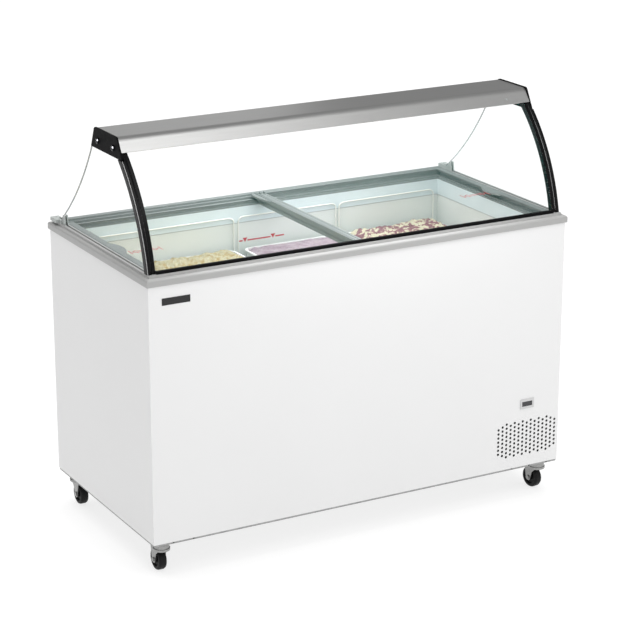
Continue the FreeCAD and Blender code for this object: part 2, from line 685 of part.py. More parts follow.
def lid(side, track, reach_y, end_x, inner, low_skirt):
    """One glass lid: side is -1 for the left, lower lid and 1 for the right, upper lid."""
    name = "left_lid" if side < 0 else "right_lid"
    low = f"({track} + lid_rise)"
    top = "lower_bar_top" if side < 0 else "upper_bar_top"
    outer_edge = f"({end_x} - {side} * outer_width)"
    inner_edge = f"({inner} + {side} * end_width)"
    outer_span = [outer_edge, end_x] if side > 0 else [end_x, outer_edge]
    inner_span = [inner, inner_edge] if side > 0 else [inner_edge, inner]
    middle_span = [inner_edge, outer_edge] if side > 0 else [outer_edge, inner_edge]

    outer_top = "lower_bar_top" if side < 0 else "upper_end_top"
    outer = box(*outer_span, f"-{reach_y}", reach_y, low, outer_top)
    grip = finger_grip(outer_edge, f"{low} + glass_seat", outer_top, side)
    keep(fuse(outer, grip), f"{name}_outer_end")

    grooves = []
    for offset in GROOVES:
        near, far = f"{inner} + {side} * {offset}", f"{inner} + {side} * ({offset} + groove_width)"
        span = (near, far) if side > 0 else (far, near)
        grooves.append(box(*span, f"-{reach_y} - overcut", f"{reach_y} + overcut",
                           f"{top} - groove_depth", f"{top} + overcut"))
    bar = cut(box(*inner_span, f"-{reach_y}", reach_y, low, top), *grooves)
    if low_skirt:
        skirt = box(inner_edge, f"{inner_edge} + skirt_gauge", "-skirt_half", "skirt_half",
                    f"{low} - skirt_depth", low)
        keep(fuse(bar, skirt), f"{name}_inner_end")
    else:
        widest = f"{inner} - flare_reach"
        flare = pad([(inner, f"{reach_y} - flare_start"), (widest, f"{reach_y} - flare_full"),
                     (widest, f"{reach_y} - flare_corner"), (inner, reach_y)], "XY_Plane", "flare_gauge")
        place(flare, z=f"{low} + flare_gauge/2")
        tabs = [box(x, f"{x} + tab_gauge", "tab_front", "tab_back", top, f"{top} + tab_height")
                for x in TAB_PLACES]
        keep(fuse(bar, flare, *tabs), f"{name}_inner_end")

    runner_in = f"({reach_y} - runner_width)"
    runners = [box(*middle_span, y0, y1, low, f"{low} + runner_height")
               for y0, y1 in ((f"-{reach_y}", f"-{runner_in}"), (runner_in, reach_y))]
    keep(group(runners), f"{name}_runners")

    pane = box(*middle_span, f"-{runner_in}", runner_in,
               f"{low} + glass_seat", f"{low} + glass_seat + lid_glass")
    grip_room = finger_grip(outer_edge, low, top, side)
    keep(cut(pane, grip_room), f"{name}_glass")


def lids():
    """Left lid on the lower track, right lid on the upper one, so that each passes the other."""
    upper_y = "(body_depth/2 + trim_overhang - band_end - lid_play)"
    lower_y = "(body_depth/2 + trim_overhang - upper_end - lid_play)"
    upper_x = "(body_length/2 + trim_overhang - band_end - lid_play)"
    lower_x = "(-(body_length/2 + trim_overhang - upper_end - lid_play))"
    lid(-1, "lower_track", lower_y, lower_x, "lid_overlap_right", True)
    lid(1, "upper_track", upper_y, upper_x, "lid_overlap_left", False)


# Curved glass canopy ------------------------------------------------------------------------------

def sector(radius, start, end, x0, x1):
    """A sector about the front glass's centre, from start to end degrees above the horizontal."""
    slice_of = doc.addObject("Part::Cylinder", "Sector")
    bind(slice_of, Radius=radius, Height=f"({x1}) - ({x0})", Angle=f"({end}) - ({start})")
    angle = math.radians(number(start))
    first_edge = Vector(0, -math.cos(angle), math.sin(angle))
    upwards = Vector(0, math.sin(angle), math.cos(angle))
    turn = Rotation(first_edge, upwards, Vector(-1, 0, 0), "ZXY")
    return place(slice_of, x1, "arc_y", "arc_z", turn)


def curved_bar(outside, thickness, end, x0, x1):
    """A bar bent round the front glass's centre, standing on the raised band."""
    core = rod(f"{outside} - ({thickness})", f"{x0} - overcut", f"{x1} + overcut", "x", "arc_y", "arc_z")
    below = box(f"{x0} - overcut", f"{x1} + overcut", "-body_depth", "0", "0", "band_top")
    return cut(sector(outside, "arc_start", end, x0, x1), core, below)


def front_glass():
    """Front pane, bent round a horizontal axis, and the black strip at its foot."""
    glass = curved_bar("arc_radius", "front_glass", "arc_end", "-post_inside", "post_inside")
    keep(glass, "front_curved_glass")
    strip = box("-post_inside", "post_inside", "-strip_front", "-strip_back",
                "band_top", "band_top + strip_height")
    room = rod("arc_radius + pane_play", "-body_length", "body_length", "x", "arc_y", "arc_z")
    keep(cut(strip, room), "glass_foot_strip")


def edge_posts():
    """Black posts bent like the front glass: a rounded bar outside, and a thin lip beside the glass.

    They run up under the header, but the bar's outer side stops below the header cap."""
    bar = curved_bar("arc_radius + post_proud", "post_depth", "post_end", "post_step", "post_outside")
    doc.recompute()
    outside, radius = size("arc_radius") + size("post_proud"), size("post_round")
    front_edges = [index for index, edge in enumerate(bar.Shape.Edges, 1)
                   if isinstance(edge.Curve, Part.Circle) and abs(edge.Curve.Radius - outside) < SAME]
    rounded = doc.addObject("Part::Fillet", "RoundedBar")
    rounded.Base = bar
    rounded.Edges = [(index, radius, radius) for index in front_edges]
    lip = curved_bar("arc_radius + post_lip", "post_depth - post_proud + post_lip", "post_end",
                     "post_inside + post_play", "post_step")
    cap_room = box("cover_half - cap_play", "post_outside + overcut", "-body_depth/2", "0",
                   "cap_bottom - cap_play", "cover_top")
    right = cut(fuse(rounded, lip), cap_room)
    keep(mirrored(right), "edge_post_left")
    keep(right, "edge_post_right")


def side_glasses():
    """Flat end panes with a hollow rear edge."""
    sheet_of_glass = box("side_glass_x", "side_glass_x + side_glass", "-body_depth/2", "body_depth/2",
                         "band_top", "side_glass_top")
    front = rod("arc_radius + post_proud - post_depth - pane_play", "0", "body_length",
                "x", "arc_y", "arc_z")
    rear = rod("rear_arc_radius", "0", "body_length", "x", "rear_arc_y", "rear_arc_z")
    right = cut(common(sheet_of_glass, front), rear)
    keep(mirrored(right), "side_glass_left")
    keep(right, "side_glass_right")


def header_cover():
    """Folded aluminium cover over the top of the front glass."""
    top, inner = "cover_top", "(cover_top - cover_gauge)"
    back_inside, hem = "cover_back - cover_gauge", f"{top} - cover_hem"
    points = [
        ("cover_back", hem), ("cover_back", top), ("-cover_front", top),
        ("-cover_foot_y", "cover_foot_z"), ("cover_edge_y - cover_foot_y", "cover_foot_z - cover_edge_z"),
        ("cover_turn - cover_front", inner), (back_inside, inner), (back_inside, hem),
    ]
    body = pad(points, "YZ_Plane", "2 * cover_half",
               rounded=[(2, "cover_bend"), (5, "cover_bend - cover_gauge"), (1, "cover_rear_bend")])
    keep(body, "header_cover")


CAP_CORNERS = [("cap_back", "cover_top + cap_proud"), ("-cap_front", "cover_top + cap_proud"),
               ("-cap_foot_front", "cap_bottom"), ("cap_foot_back", "cap_bottom")]


def header_caps():
    """Black end caps: an outer plate, a gusset behind the post and a web over the glass's top edge."""
    plate = pad(CAP_CORNERS, "YZ_Plane", "cap_outside - cover_half",
                rounded=[(0, "cap_rear_corner"), (1, "cap_corner"), (2, "cap_foot_corner"),
                         (3, "cap_foot_corner")])
    place(plate, x="(cap_outside + cover_half)/2")
    ceiling = "cover_top - cover_gauge"
    gusset_top = f"{ceiling} - gusset_gap"
    inside_cover = [("gusset_back", gusset_top), ("-gusset_front", gusset_top),
                    ("-gusset_foot_front", "cap_bottom"), ("gusset_foot_back", "cap_bottom"),
                    ("gusset_back", f"{ceiling} - gusset_upright")]
    gusset = pad(inside_cover, "YZ_Plane", "side_glass_x - gusset_play - cap_inside")
    place(gusset, x="(side_glass_x - gusset_play + cap_inside)/2")
    web = box("cap_inside", "cover_half", "-cap_web_front", "cap_web_back",
              "side_glass_top + pane_play", gusset_top)
    cover_room = pad([("room_back", "room_bottom"), ("room_back", f"{ceiling} - cap_play"),
                      ("-room_front", f"{ceiling} - cap_play"), ("-cap_foot_front", "room_foot")],
                     "YZ_Plane", "room_width")
    place(cover_room, x="cover_half - gusset_play - room_width/2")
    behind_post = rod("arc_radius + post_proud - post_depth - cap_play", "0", "body_length",
                      "x", "arc_y", "arc_z")
    inner = common(common(fuse(gusset, web), cover_room), behind_post)
    bridge = box("cover_half - bridge_reach", "cover_half + overcut", "-bridge_front", "0",
                 "side_glass_top + cap_play", f"{gusset_top} - cap_play")
    joined = fuse(plate, inner, bridge)
    keep(mirrored(joined), "header_cap_left")
    keep(joined, "header_cap_right")


SCREW_PLACES = [("-9", "1160"), ("-109", "1161")]


def header_screws():
    """Domed cross-head screws, two on each header cap."""
    screws = []
    for y, z in SCREW_PLACES:
        rim = "cap_outside + screw_rim"
        head = rod("screw_radius", "cap_outside", rim, "x", y, z)
        dome = doc.addObject("Part::Cone", "Dome")
        bind(dome, Radius1="screw_radius", Radius2="screw_flat", Height="screw_dome")
        place(dome, rim, y, z, FACING["x"])
        slots = [box(rim, f"{rim} + 2 * screw_dome", f"{y} - {along}", f"{y} + {along}",
                     f"{z} - {up}", f"{z} + {up}")
                 for along, up in (("cross_reach", "cross_half"), ("cross_half", "cross_reach"))]
        screw = cut(fuse(head, dome), *slots)
        screws += [screw, mirrored(screw)]
    keep(group(screws), "header_screws")


def header_lamp():
    """Lamp batten under the cover, and its rocker switch."""
    ceiling = "cover_top - cover_gauge"
    underside = f"{ceiling} - lamp_depth"
    batten = box("-lamp_half", "lamp_half", "lamp_y - lamp_width/2", "lamp_y + lamp_width/2",
                 underside, ceiling)
    tube = rod("lamp_tube", "lamp_tube_start", "lamp_tube_end", "x", "lamp_y", f"{underside} + tube_sink")
    well = rod("switch_radius", "switch_x - switch_half", "switch_x + switch_half", "x",
               "lamp_y", underside)
    keep(cut(fuse(batten, tube), well), "header_lamp")
    ends = ["switch_x - switch_half + switch_play", "switch_x + switch_half - switch_play"]
    rocker = rod("switch_radius - switch_play", *ends, "x", "lamp_y", underside)
    ridge = box(*ends, "lamp_y - ridge_half", "lamp_y + ridge_half", f"{underside} - switch_ridge", underside)
    keep(fuse(rocker, ridge), "lamp_switch")


BRACKET_HOLES = [285, 308]


def rear_brackets():
    """Plastic corner blocks on the trim, each with a slotted finger that holds a side pane."""
    low = "band_top"
    top, tip = f"{low} + bracket_height", f"{low} + finger_height"
    block = box("side_glass_x - bracket_wall", "bracket_step", "bracket_front", "bracket_back", low, top)
    skirt = box("bracket_step", "body_length/2 + trim_overhang - bracket_inset", "bracket_skirt",
                "bracket_back", f"{low} + pane_play", top)
    finger = pad([("finger_front", low), ("bracket_front", low),
                  ("bracket_front", f"{low} + finger_upright"), ("bracket_front - finger_lean_back", tip),
                  ("finger_front + finger_lean_front", tip)],
                 "YZ_Plane", "finger_width", rounded=[(3, "finger_round"), (4, "finger_round")])
    place(finger, x="side_glass_x + side_glass/2")
    slot = box("side_glass_x - slot_play", "side_glass_x + side_glass + slot_play",
               "finger_front - overcut", "slot_end", f"{low} - overcut", f"{tip} + overcut")
    holes = [rod("bracket_hole", f"{low} + hole_floor", tip, "z", "hole_middle", y)
             for y in BRACKET_HOLES]
    right = cut(fuse(block, skirt, finger), slot, *holes)
    keep(mirrored(right), "rear_bracket_left")
    keep(right, "rear_bracket_right")


# Tubs and racks -----------------------------------------------------------------------------------

def bend(radius, x, y, z, start):
    """A quarter of a ring of wire in the XZ plane about a corner's centre, from start degrees."""
    ring = doc.addObject("Part::Torus", "Bend")
    bind(ring, Radius1=radius, Radius2="rack_wire/2")
    ring.Angle3 = 90
    upright = Rotation(Vector(1, 0, 0), 90)
    return place(ring, x, y, z, Rotation(Vector(0, 1, 0), -start).multiply(upright))


def hoop(x0, x1, y):
    """A rounded rectangle of wire, standing across the cabinet."""
    low, high = "(rack_bottom + rack_wire/2)", "(rack_top - rack_wire/2)"
    left, right, turn = f"({x0} + rack_corner)", f"({x1} - rack_corner)", "rack_corner"
    return [
        rod("rack_wire/2", left, right, "x", y, low), rod("rack_wire/2", left, right, "x", y, high),
        rod("rack_wire/2", f"{low} + {turn}", f"{high} - {turn}", "z", x0, y),
        rod("rack_wire/2", f"{low} + {turn}", f"{high} - {turn}", "z", x1, y),
        bend(turn, right, y, f"{high} - {turn}", 0), bend(turn, left, y, f"{high} - {turn}", 90),
        bend(turn, left, y, f"{low} + {turn}", 180), bend(turn, right, y, f"{low} + {turn}", 270),
    ]


CELLS = [(-567, -105), (-90, 243), (254, 591)]


def racks():
    """Coated wire racks that carry the tubs: two hoops and a floor of rods each."""
    made = []
    for x0, x1 in CELLS:
        wires = hoop(x0, x1, "rack_y") + hoop(x0, x1, "-rack_y")
        count = round((x1 - x0) / size("rack_rods"))
        for index in range(1, count):
            x = x0 + (x1 - x0) * index / count
            wires.append(rod("rack_rod/2", "-rack_y - rack_rod/2", "rack_y + rack_rod/2", "y", x,
                             "rack_bottom + rack_wire + rack_rod/2 - rack_weld"))
        made.append(fuse(*wires))
    keep(group(made), "tub_racks")


def tub(at_x, at_y, turned):
    """One tub and what fills it, as two solids."""
    half_x, half_y = "pan_length/2", "pan_width/2"
    if turned:
        half_x, half_y = half_y, half_x

    def slab(inset, low, high, corner):
        edge_x, edge_y = f"({half_x} - {inset})", f"({half_y} - {inset})"
        points = [(f"-{edge_x}", f"-{edge_y}"), (edge_x, f"-{edge_y}"),
                  (edge_x, edge_y), (f"-{edge_x}", edge_y)]
        block = pad(points, "XY_Plane", f"({high}) - ({low})",
                    rounded=[(index, corner) for index in range(4)])
        return place(block, at_x, at_y, f"(({low}) + ({high}))/2")

    floor = "(pan_top - pan_height)"
    rim = slab("0", "pan_top - pan_rim_gauge", "pan_top", "pan_corner + pan_rim")
    outside = slab("pan_rim", floor, "pan_top - pan_rim_gauge + overcut", "pan_corner")
    inner_corner = "pan_corner - pan_wall"
    hollow = slab("(pan_rim + pan_wall)", f"{floor} + pan_wall", "pan_top + overcut", inner_corner)
    filling = slab("(pan_rim + pan_wall + filling_play)", f"{floor} + pan_wall",
                   "pan_top - filling_drop", inner_corner)
    return cut(fuse(rim, outside), hollow), filling


TUB_COLUMNS = [-276, 76.5, 422.5]


def tubs():
    """Three columns of three tubs, and one tub turned along the left end."""
    shells, fillings = [], []
    places = [(x, f"{row} * pan_pitch", False) for x in TUB_COLUMNS for row in (1, 0, -1)]
    places.append(("side_pan_x", "side_pan_y", True))
    for x, y, turned in places:
        shell, filling = tub(x, y, turned)
        shells.append(shell)
        fillings.append(filling)
    keep(group(shells), "tubs")
    keep(group(fillings), "ice_cream")


# Front details ------------------------------------------------------------------------------------

def framed(middle_x, middle_z, length, height, y0, y1):
    """A block centred on a point of the front."""
    return box(f"{middle_x} - ({length})/2", f"{middle_x} + ({length})/2", y0, y1,
               f"{middle_z} - ({height})/2", f"{middle_z} + ({height})/2")


def front_details():
    """Blank name plate and the digital thermometer."""
    face = "-body_depth/2"
    plate = framed("badge_x", "badge_z", "badge_length", "badge_height", f"{face} - badge_gauge", face)
    keep(plate, "name_plate")
    bezel = framed("display_x", "display_z", "display_length", "display_height",
                   f"{face} - display_lip", face)
    sleeve = framed("display_x", "display_z", "display_window_length", "display_window_height",
                    f"{face} - overcut", f"{face} + display_depth")
    inside = ["display_x", "display_z",
              "display_window_length - display_frame", "display_window_height - display_frame"]
    window = framed(*inside, f"{face} - display_lip - overcut", f"{face} + screen_depth")
    keep(cut(fuse(bezel, sleeve), window), "thermometer_bezel")
    screen = framed(*inside, f"{face} - screen_proud", f"{face} + screen_depth")
    keep(screen, "thermometer_screen")


# Castors ------------------------------------------------------------------------------------------
# Each is made with its swivel axis on the origin's vertical and its wheel trailing towards +Y.

def castor_plate():
    """Top plate with the fixed race and the kingpin."""
    top, half = "tray_bottom", "castor_plate/2"
    plate = box(f"-{half}", half, f"-{half}", half, f"{top} - plate_gauge", top)
    bolts = [rod("bolt_radius", f"{top} - plate_gauge - bolt_head", top, "z",
                 f"{side_x} * bolt_place", f"{side_y} * bolt_place")
             for side_x in (-1, 1) for side_y in (-1, 1)]
    race = doc.addObject("Part::Cone", "Race")
    bind(race, Radius1="race_bottom_radius", Radius2="race_top_radius", Height="race_height")
    place(race, z=f"{top} - plate_gauge - race_height")
    pin = rod("kingpin_radius", "crown_bottom - kingpin_reach", top, "z", "0", "0")
    head = rod("rivet_head", "rivet_bottom", "crown_bottom - rivet_play", "z", "0", "0")
    return fuse(plate, race, pin, head, *bolts)


def castor_fork():
    """Swivelling crown with a flared ring, and two cheeks down to the axle."""
    crown_top = "tray_bottom - plate_gauge - race_height - race_play"
    crown = rod("race_bottom_radius", "crown_bottom", crown_top, "z", "0", "0")
    ring = cut(rod("ring_radius", "ring_bottom", "crown_bottom + ring_sink", "z", "0", "0"),
               rod("ring_inside", "ring_bottom - overcut", "crown_bottom", "z", "0", "0"))
    bore = rod("kingpin_radius + running_gap", "ring_bottom", "tray_bottom", "z", "0", "0")
    cheek_points = [("-cheek_front", "cheek_crown"), ("-cheek_front", "ring_bottom"),
                    ("cheek_knee_y", "cheek_knee_z"), ("trail - cheek_half", "wheel_radius"),
                    ("trail - foot_half_width", "cheek_foot"), ("trail + foot_half_width", "cheek_foot"),
                    ("trail + cheek_half", "wheel_radius"), ("cheek_back", "ring_bottom"),
                    ("cheek_back", "cheek_top"), ("cheek_shoulder", "cheek_top")]
    axle_hole = rod("axle_radius + axle_play", "-ring_radius", "ring_radius", "x", "trail", "wheel_radius")
    pedal_hole = rod("pedal_pin_radius + running_gap", "-ring_radius", "ring_radius", "x",
                     "pedal_pin_y", "pedal_pin_z")
    cheeks = []
    for side in (-1, 1):
        cheek = pad(cheek_points, "YZ_Plane", "fork_gauge",
                    rounded=[(4, "cheek_round"), (5, "cheek_round")])
        place(cheek, x=f"{side} * (fork_gap + fork_gauge/2)")
        cheeks.append(cheek)
    head_room = rod("rivet_head + race_play", "ring_bottom", "crown_bottom", "z", "0", "0")
    return cut(fuse(crown, ring, *cheeks), bore, axle_hole, pedal_hole, head_room)


def castor_wheel():
    """Tyred wheel with a hub and a recessed web."""
    body = doc.addObject("PartDesign::Body", "Wheel")
    half, bore = "wheel_width/2", "axle_radius + running_gap"
    sketch = outline(body, "XZ_Plane", [
        (f"-{half} - boss_proud", bore), (f"-{half} - boss_proud", "boss_radius"),
        (f"web_recess - {half}", "boss_foot"), (f"web_recess - {half}", "web_radius"),
        (f"rim_recess - {half}", "rim_radius"), (f"-{half}", "side_wall_radius"),
        (f"-{half}", "wheel_radius - tread_round"),
        (f"shoulder_across - {half}", "wheel_radius - shoulder_drop"),
        (f"tread_round - {half}", "wheel_radius"), (f"{half} - tread_round", "wheel_radius"),
        (f"{half} - shoulder_across", "wheel_radius - shoulder_drop"),
        (half, "wheel_radius - tread_round"), (half, "side_wall_radius"),
        (f"{half} - rim_recess", "rim_radius"), (f"{half} - web_recess", "web_radius"),
        (f"{half} - web_recess", "boss_foot"), (f"{half} + boss_proud", "boss_radius"),
        (f"{half} + boss_proud", bore),
    ])
    wheel = body.newObject("PartDesign::Revolution", "Turned")
    wheel.Profile = sketch
    wheel.ReferenceAxis = (sketch, ["H_Axis"])
    wheel.Angle = 360
    return body


def castor_axle():
    """Wheel bolt with a head and a nut."""
    shank = rod("axle_radius", "-axle_half", "axle_half", "x", "0", "0")
    cheek = "fork_gap + fork_gauge"
    head = rod("axle_head", cheek, f"{cheek} + head_height", "x", "0", "0")
    nut = rod("axle_nut", f"-({cheek}) - nut_height", f"-({cheek})", "x", "0", "0")
    return fuse(shank, head, nut)


# Side view of the pedal: behind the swivel axis, above the floor.
PEDAL_OUTLINE = [(27, 68), (35, 68), (46, 70), (50, 66), (60, 67), (62, 88), (56, 89), (51, 79), (35, 77),
                 (27, 76)]
PEDAL_ROUNDS = [(4, "pedal_round"), (5, "pedal_round"), (6, "pedal_lip_round")]


def brake_pedal():
    """Foot pedal on a pin between the cheeks, behind the wheel's top."""
    arm = pad(PEDAL_OUTLINE, "YZ_Plane", "pedal_width", rounded=PEDAL_ROUNDS)
    pin = rod("pedal_pin_radius", "-(fork_gap + fork_gauge)", "fork_gap + fork_gauge", "x",
              "pedal_pin_y", "pedal_pin_z")
    return fuse(arm, pin)


CASTORS = {
    "front_left": (-1, -1, 0),
    "front_right": (1, -1, 6),
    "rear_left": (-1, 1, 180),
    "rear_right": (1, 1, 180),
}


def set_castor(shape, side_x, side_y, heading, forward="0", up="0"):
    """A castor piece at one corner, its wheel trailing along the heading, in degrees from +Y."""
    piece = doc.addObject("Part::Feature", "CastorPiece")
    doc.recompute()
    piece.Shape = shape.Shape
    turn = Rotation(Vector(0, 0, 1), heading)
    offset = turn.multVec(Vector(0, number(forward), number(up)))
    corner = Vector(side_x * size("castor_x"), side_y * size("castor_y"), 0)
    piece.Placement = FreeCAD.Placement(corner + offset, turn)
    return piece


def castors():
    """Four swivel castors; the front pair have brakes."""
    plate, fork, wheel = castor_plate(), castor_fork(), castor_wheel()
    axle, pedal = castor_axle(), brake_pedal()
    plates = []
    for corner, (side_x, side_y, heading) in CASTORS.items():
        plates.append(set_castor(plate, side_x, side_y, 0))
        keep(set_castor(fork, side_x, side_y, heading), f"castor_fork_{corner}")
        keep(set_castor(wheel, side_x, side_y, heading, "trail", "wheel_radius"), f"castor_wheel_{corner}")
        keep(set_castor(axle, side_x, side_y, heading, "trail", "wheel_radius"), f"castor_axle_{corner}")
        if side_y < 0:
            keep(set_castor(pedal, side_x, side_y, heading), f"brake_pedal_{corner}")
    keep(group(plates), "castor_plates")


# Machine bay --------------------------------------------------------------------------------------

def compressor():
    """Hermetic compressor can on a foot plate."""
    floor = "tray_bottom + tray_gauge"
    foot = box("bay_left", "bay_machine_right", "compressor_y - foot_half", "compressor_y + foot_half",
               floor, f"{floor} + compressor_foot")
    can_top = f"{floor} + compressor_foot + compressor_height"
    can = rod("compressor_radius", f"{floor} + compressor_foot", can_top, "z",
              "compressor_x", "compressor_y")
    dome = doc.addObject("Part::Ellipsoid", "Dome")
    bind(dome, Radius1="compressor_dome", Radius2="compressor_radius", Radius3="compressor_radius")
    place(dome, "compressor_x", "compressor_y", can_top)
    keep(fuse(foot, can, dome), "compressor")


def condenser():
    """Finned block behind the grille."""
    low = "tray_bottom + tray_gauge"
    core = box("bay_left", "condenser_right", "condenser_front", "condenser_back",
               low, f"{low} + condenser_height")
    lowest, pitch = 15, 32
    tubes = [rod("condenser_tube", "bay_left - tube_reach", "condenser_right + tube_reach", "x", y,
                 f"{low} + {height}")
             for y in ("condenser_front + tube_inset", "condenser_back - tube_inset")
             for height in range(lowest, int(size("condenser_height")), pitch)]
    keep(fuse(core, *tubes), "condenser")


BLADES = 4
BLADE_PITCH = 28


def fan():
    """Four pitched blades on a hub, and the motor that turns them."""
    hub = rod("hub_radius", "fan_y - hub_half", "fan_y + hub_half", "y", "fan_x", "fan_z")
    centre = FreeCAD.Placement(Vector(size("fan_x"), size("fan_y"), size("fan_z")), Rotation())
    half_chord = size("blade_width") / 2
    pitch = FreeCAD.Placement(Vector(0, 0, -half_chord), Rotation(Vector(1, 0, 0), BLADE_PITCH),
                              Vector(0, size("blade_gauge") / 2, half_chord))
    blades = [hub]
    for index in range(BLADES):
        blade = doc.addObject("Part::Box", "Blade")
        bind(blade, Length="fan_radius", Width="blade_gauge", Height="blade_width")
        spoke = FreeCAD.Placement(Vector(), Rotation(Vector(0, 1, 0), 360 / BLADES * index))
        blade.Placement = centre * spoke * pitch
        blades.append(blade)
    bore = rod("shaft_radius + running_gap", "fan_y - motor_start", "fan_y + motor_start", "y",
               "fan_x", "fan_z")
    keep(cut(fuse(*blades), bore), "fan_blades")
    front, back = "fan_y + motor_start", "fan_y + motor_start + motor_length"
    can = rod("motor_radius", front, back, "y", "fan_x", "fan_z")
    shaft = rod("shaft_radius", "fan_y - hub_half + shaft_inset", f"{front} + overcut", "y", "fan_x", "fan_z")
    left, right, floor = "fan_x - motor_radius", "fan_x + motor_radius", "tray_bottom + tray_gauge"
    stand = box(left, right, "fan_y + stand_start", "fan_y + stand_start + stand_gauge", floor, "fan_z")
    foot = box(left, right, "fan_y + stand_start", back, floor, f"{floor} + stand_gauge")
    keep(fuse(can, shaft, stand, foot), "fan_motor")


def power_inlet():
    """Cord gland in the rear panel."""
    flange = rod("flange_radius", "body_depth/2", "body_depth/2 + flange_gauge", "y",
                 "gland_x", "gland_z")
    barrel = rod("gland_bore + gland_wall", "body_depth/2 - barrel_length", "body_depth/2 + overcut", "y",
                 "gland_x", "gland_z")
    bore = rod("gland_bore", "0", "body_depth", "y", "gland_x", "gland_z")
    keep(cut(fuse(flange, barrel), bore), "power_inlet")


def check_and_write():
    """Stops on anything that failed to build, then writes one file for each sub-part."""
    doc.recompute()
    for thing in doc.Objects:
        if "Invalid" in thing.State or "Error" in thing.State:
            raise RuntimeError(f"{thing.Name} ({thing.Label}) is {thing.State}")
    os.makedirs("parts", exist_ok=True)
    for node in nodes:
        shape = node.Shape
        if shape.isNull() or not shape.isValid() or not shape.Solids:
            raise RuntimeError(f"{node.Label} has no valid shape")
        shape.exportStep(f"parts/{node.Label}.step")
    print(len(nodes), "sub-parts written")


for build in (front_panel, side_panels, rear_panel, base_tray, liner_and_foam, liner_collar, rails, lids,
              front_glass, edge_posts, side_glasses, header_cover, header_caps, header_screws, header_lamp,
              rear_brackets, racks, tubs, front_details, castors, compressor, condenser, fan, power_inlet):
    build()
check_and_write()
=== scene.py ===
"""Looks of the ice cream dipping cabinet, built round its fixed frame.

Metres, +Z up, the front faces -Y.
"""

import math

import bmesh
import bpy
from mathutils import Matrix, Vector, noise


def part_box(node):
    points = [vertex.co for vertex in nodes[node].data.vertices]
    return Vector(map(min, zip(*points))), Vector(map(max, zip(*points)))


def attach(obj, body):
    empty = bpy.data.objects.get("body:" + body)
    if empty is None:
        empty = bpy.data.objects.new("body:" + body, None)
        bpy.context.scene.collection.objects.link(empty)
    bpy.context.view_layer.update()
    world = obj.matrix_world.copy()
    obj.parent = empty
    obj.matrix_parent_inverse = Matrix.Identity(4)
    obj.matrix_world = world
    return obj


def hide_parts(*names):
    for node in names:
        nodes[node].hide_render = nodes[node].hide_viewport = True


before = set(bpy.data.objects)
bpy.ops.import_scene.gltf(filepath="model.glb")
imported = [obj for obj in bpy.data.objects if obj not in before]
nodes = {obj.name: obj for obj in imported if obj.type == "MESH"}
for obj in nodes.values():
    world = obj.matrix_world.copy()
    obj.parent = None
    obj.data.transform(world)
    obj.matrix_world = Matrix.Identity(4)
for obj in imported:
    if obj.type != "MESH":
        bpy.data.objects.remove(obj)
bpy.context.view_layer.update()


# Materials ----------------------------------------------------------------------------------------

def srgb(red, green, blue):
    """A linear colour from 0 to 255 display values."""
    def linear(value):
        """Undoes the display's curve for one channel."""
        value /= 255
        return value / 12.92 if value <= 0.04045 else ((value + 0.055) / 1.055) ** 2.4

    return linear(red), linear(green), linear(blue), 1.0


NOISE_LOW, NOISE_HIGH = 0.3, 0.7  # the part of 0 to 1 that noise mostly fills


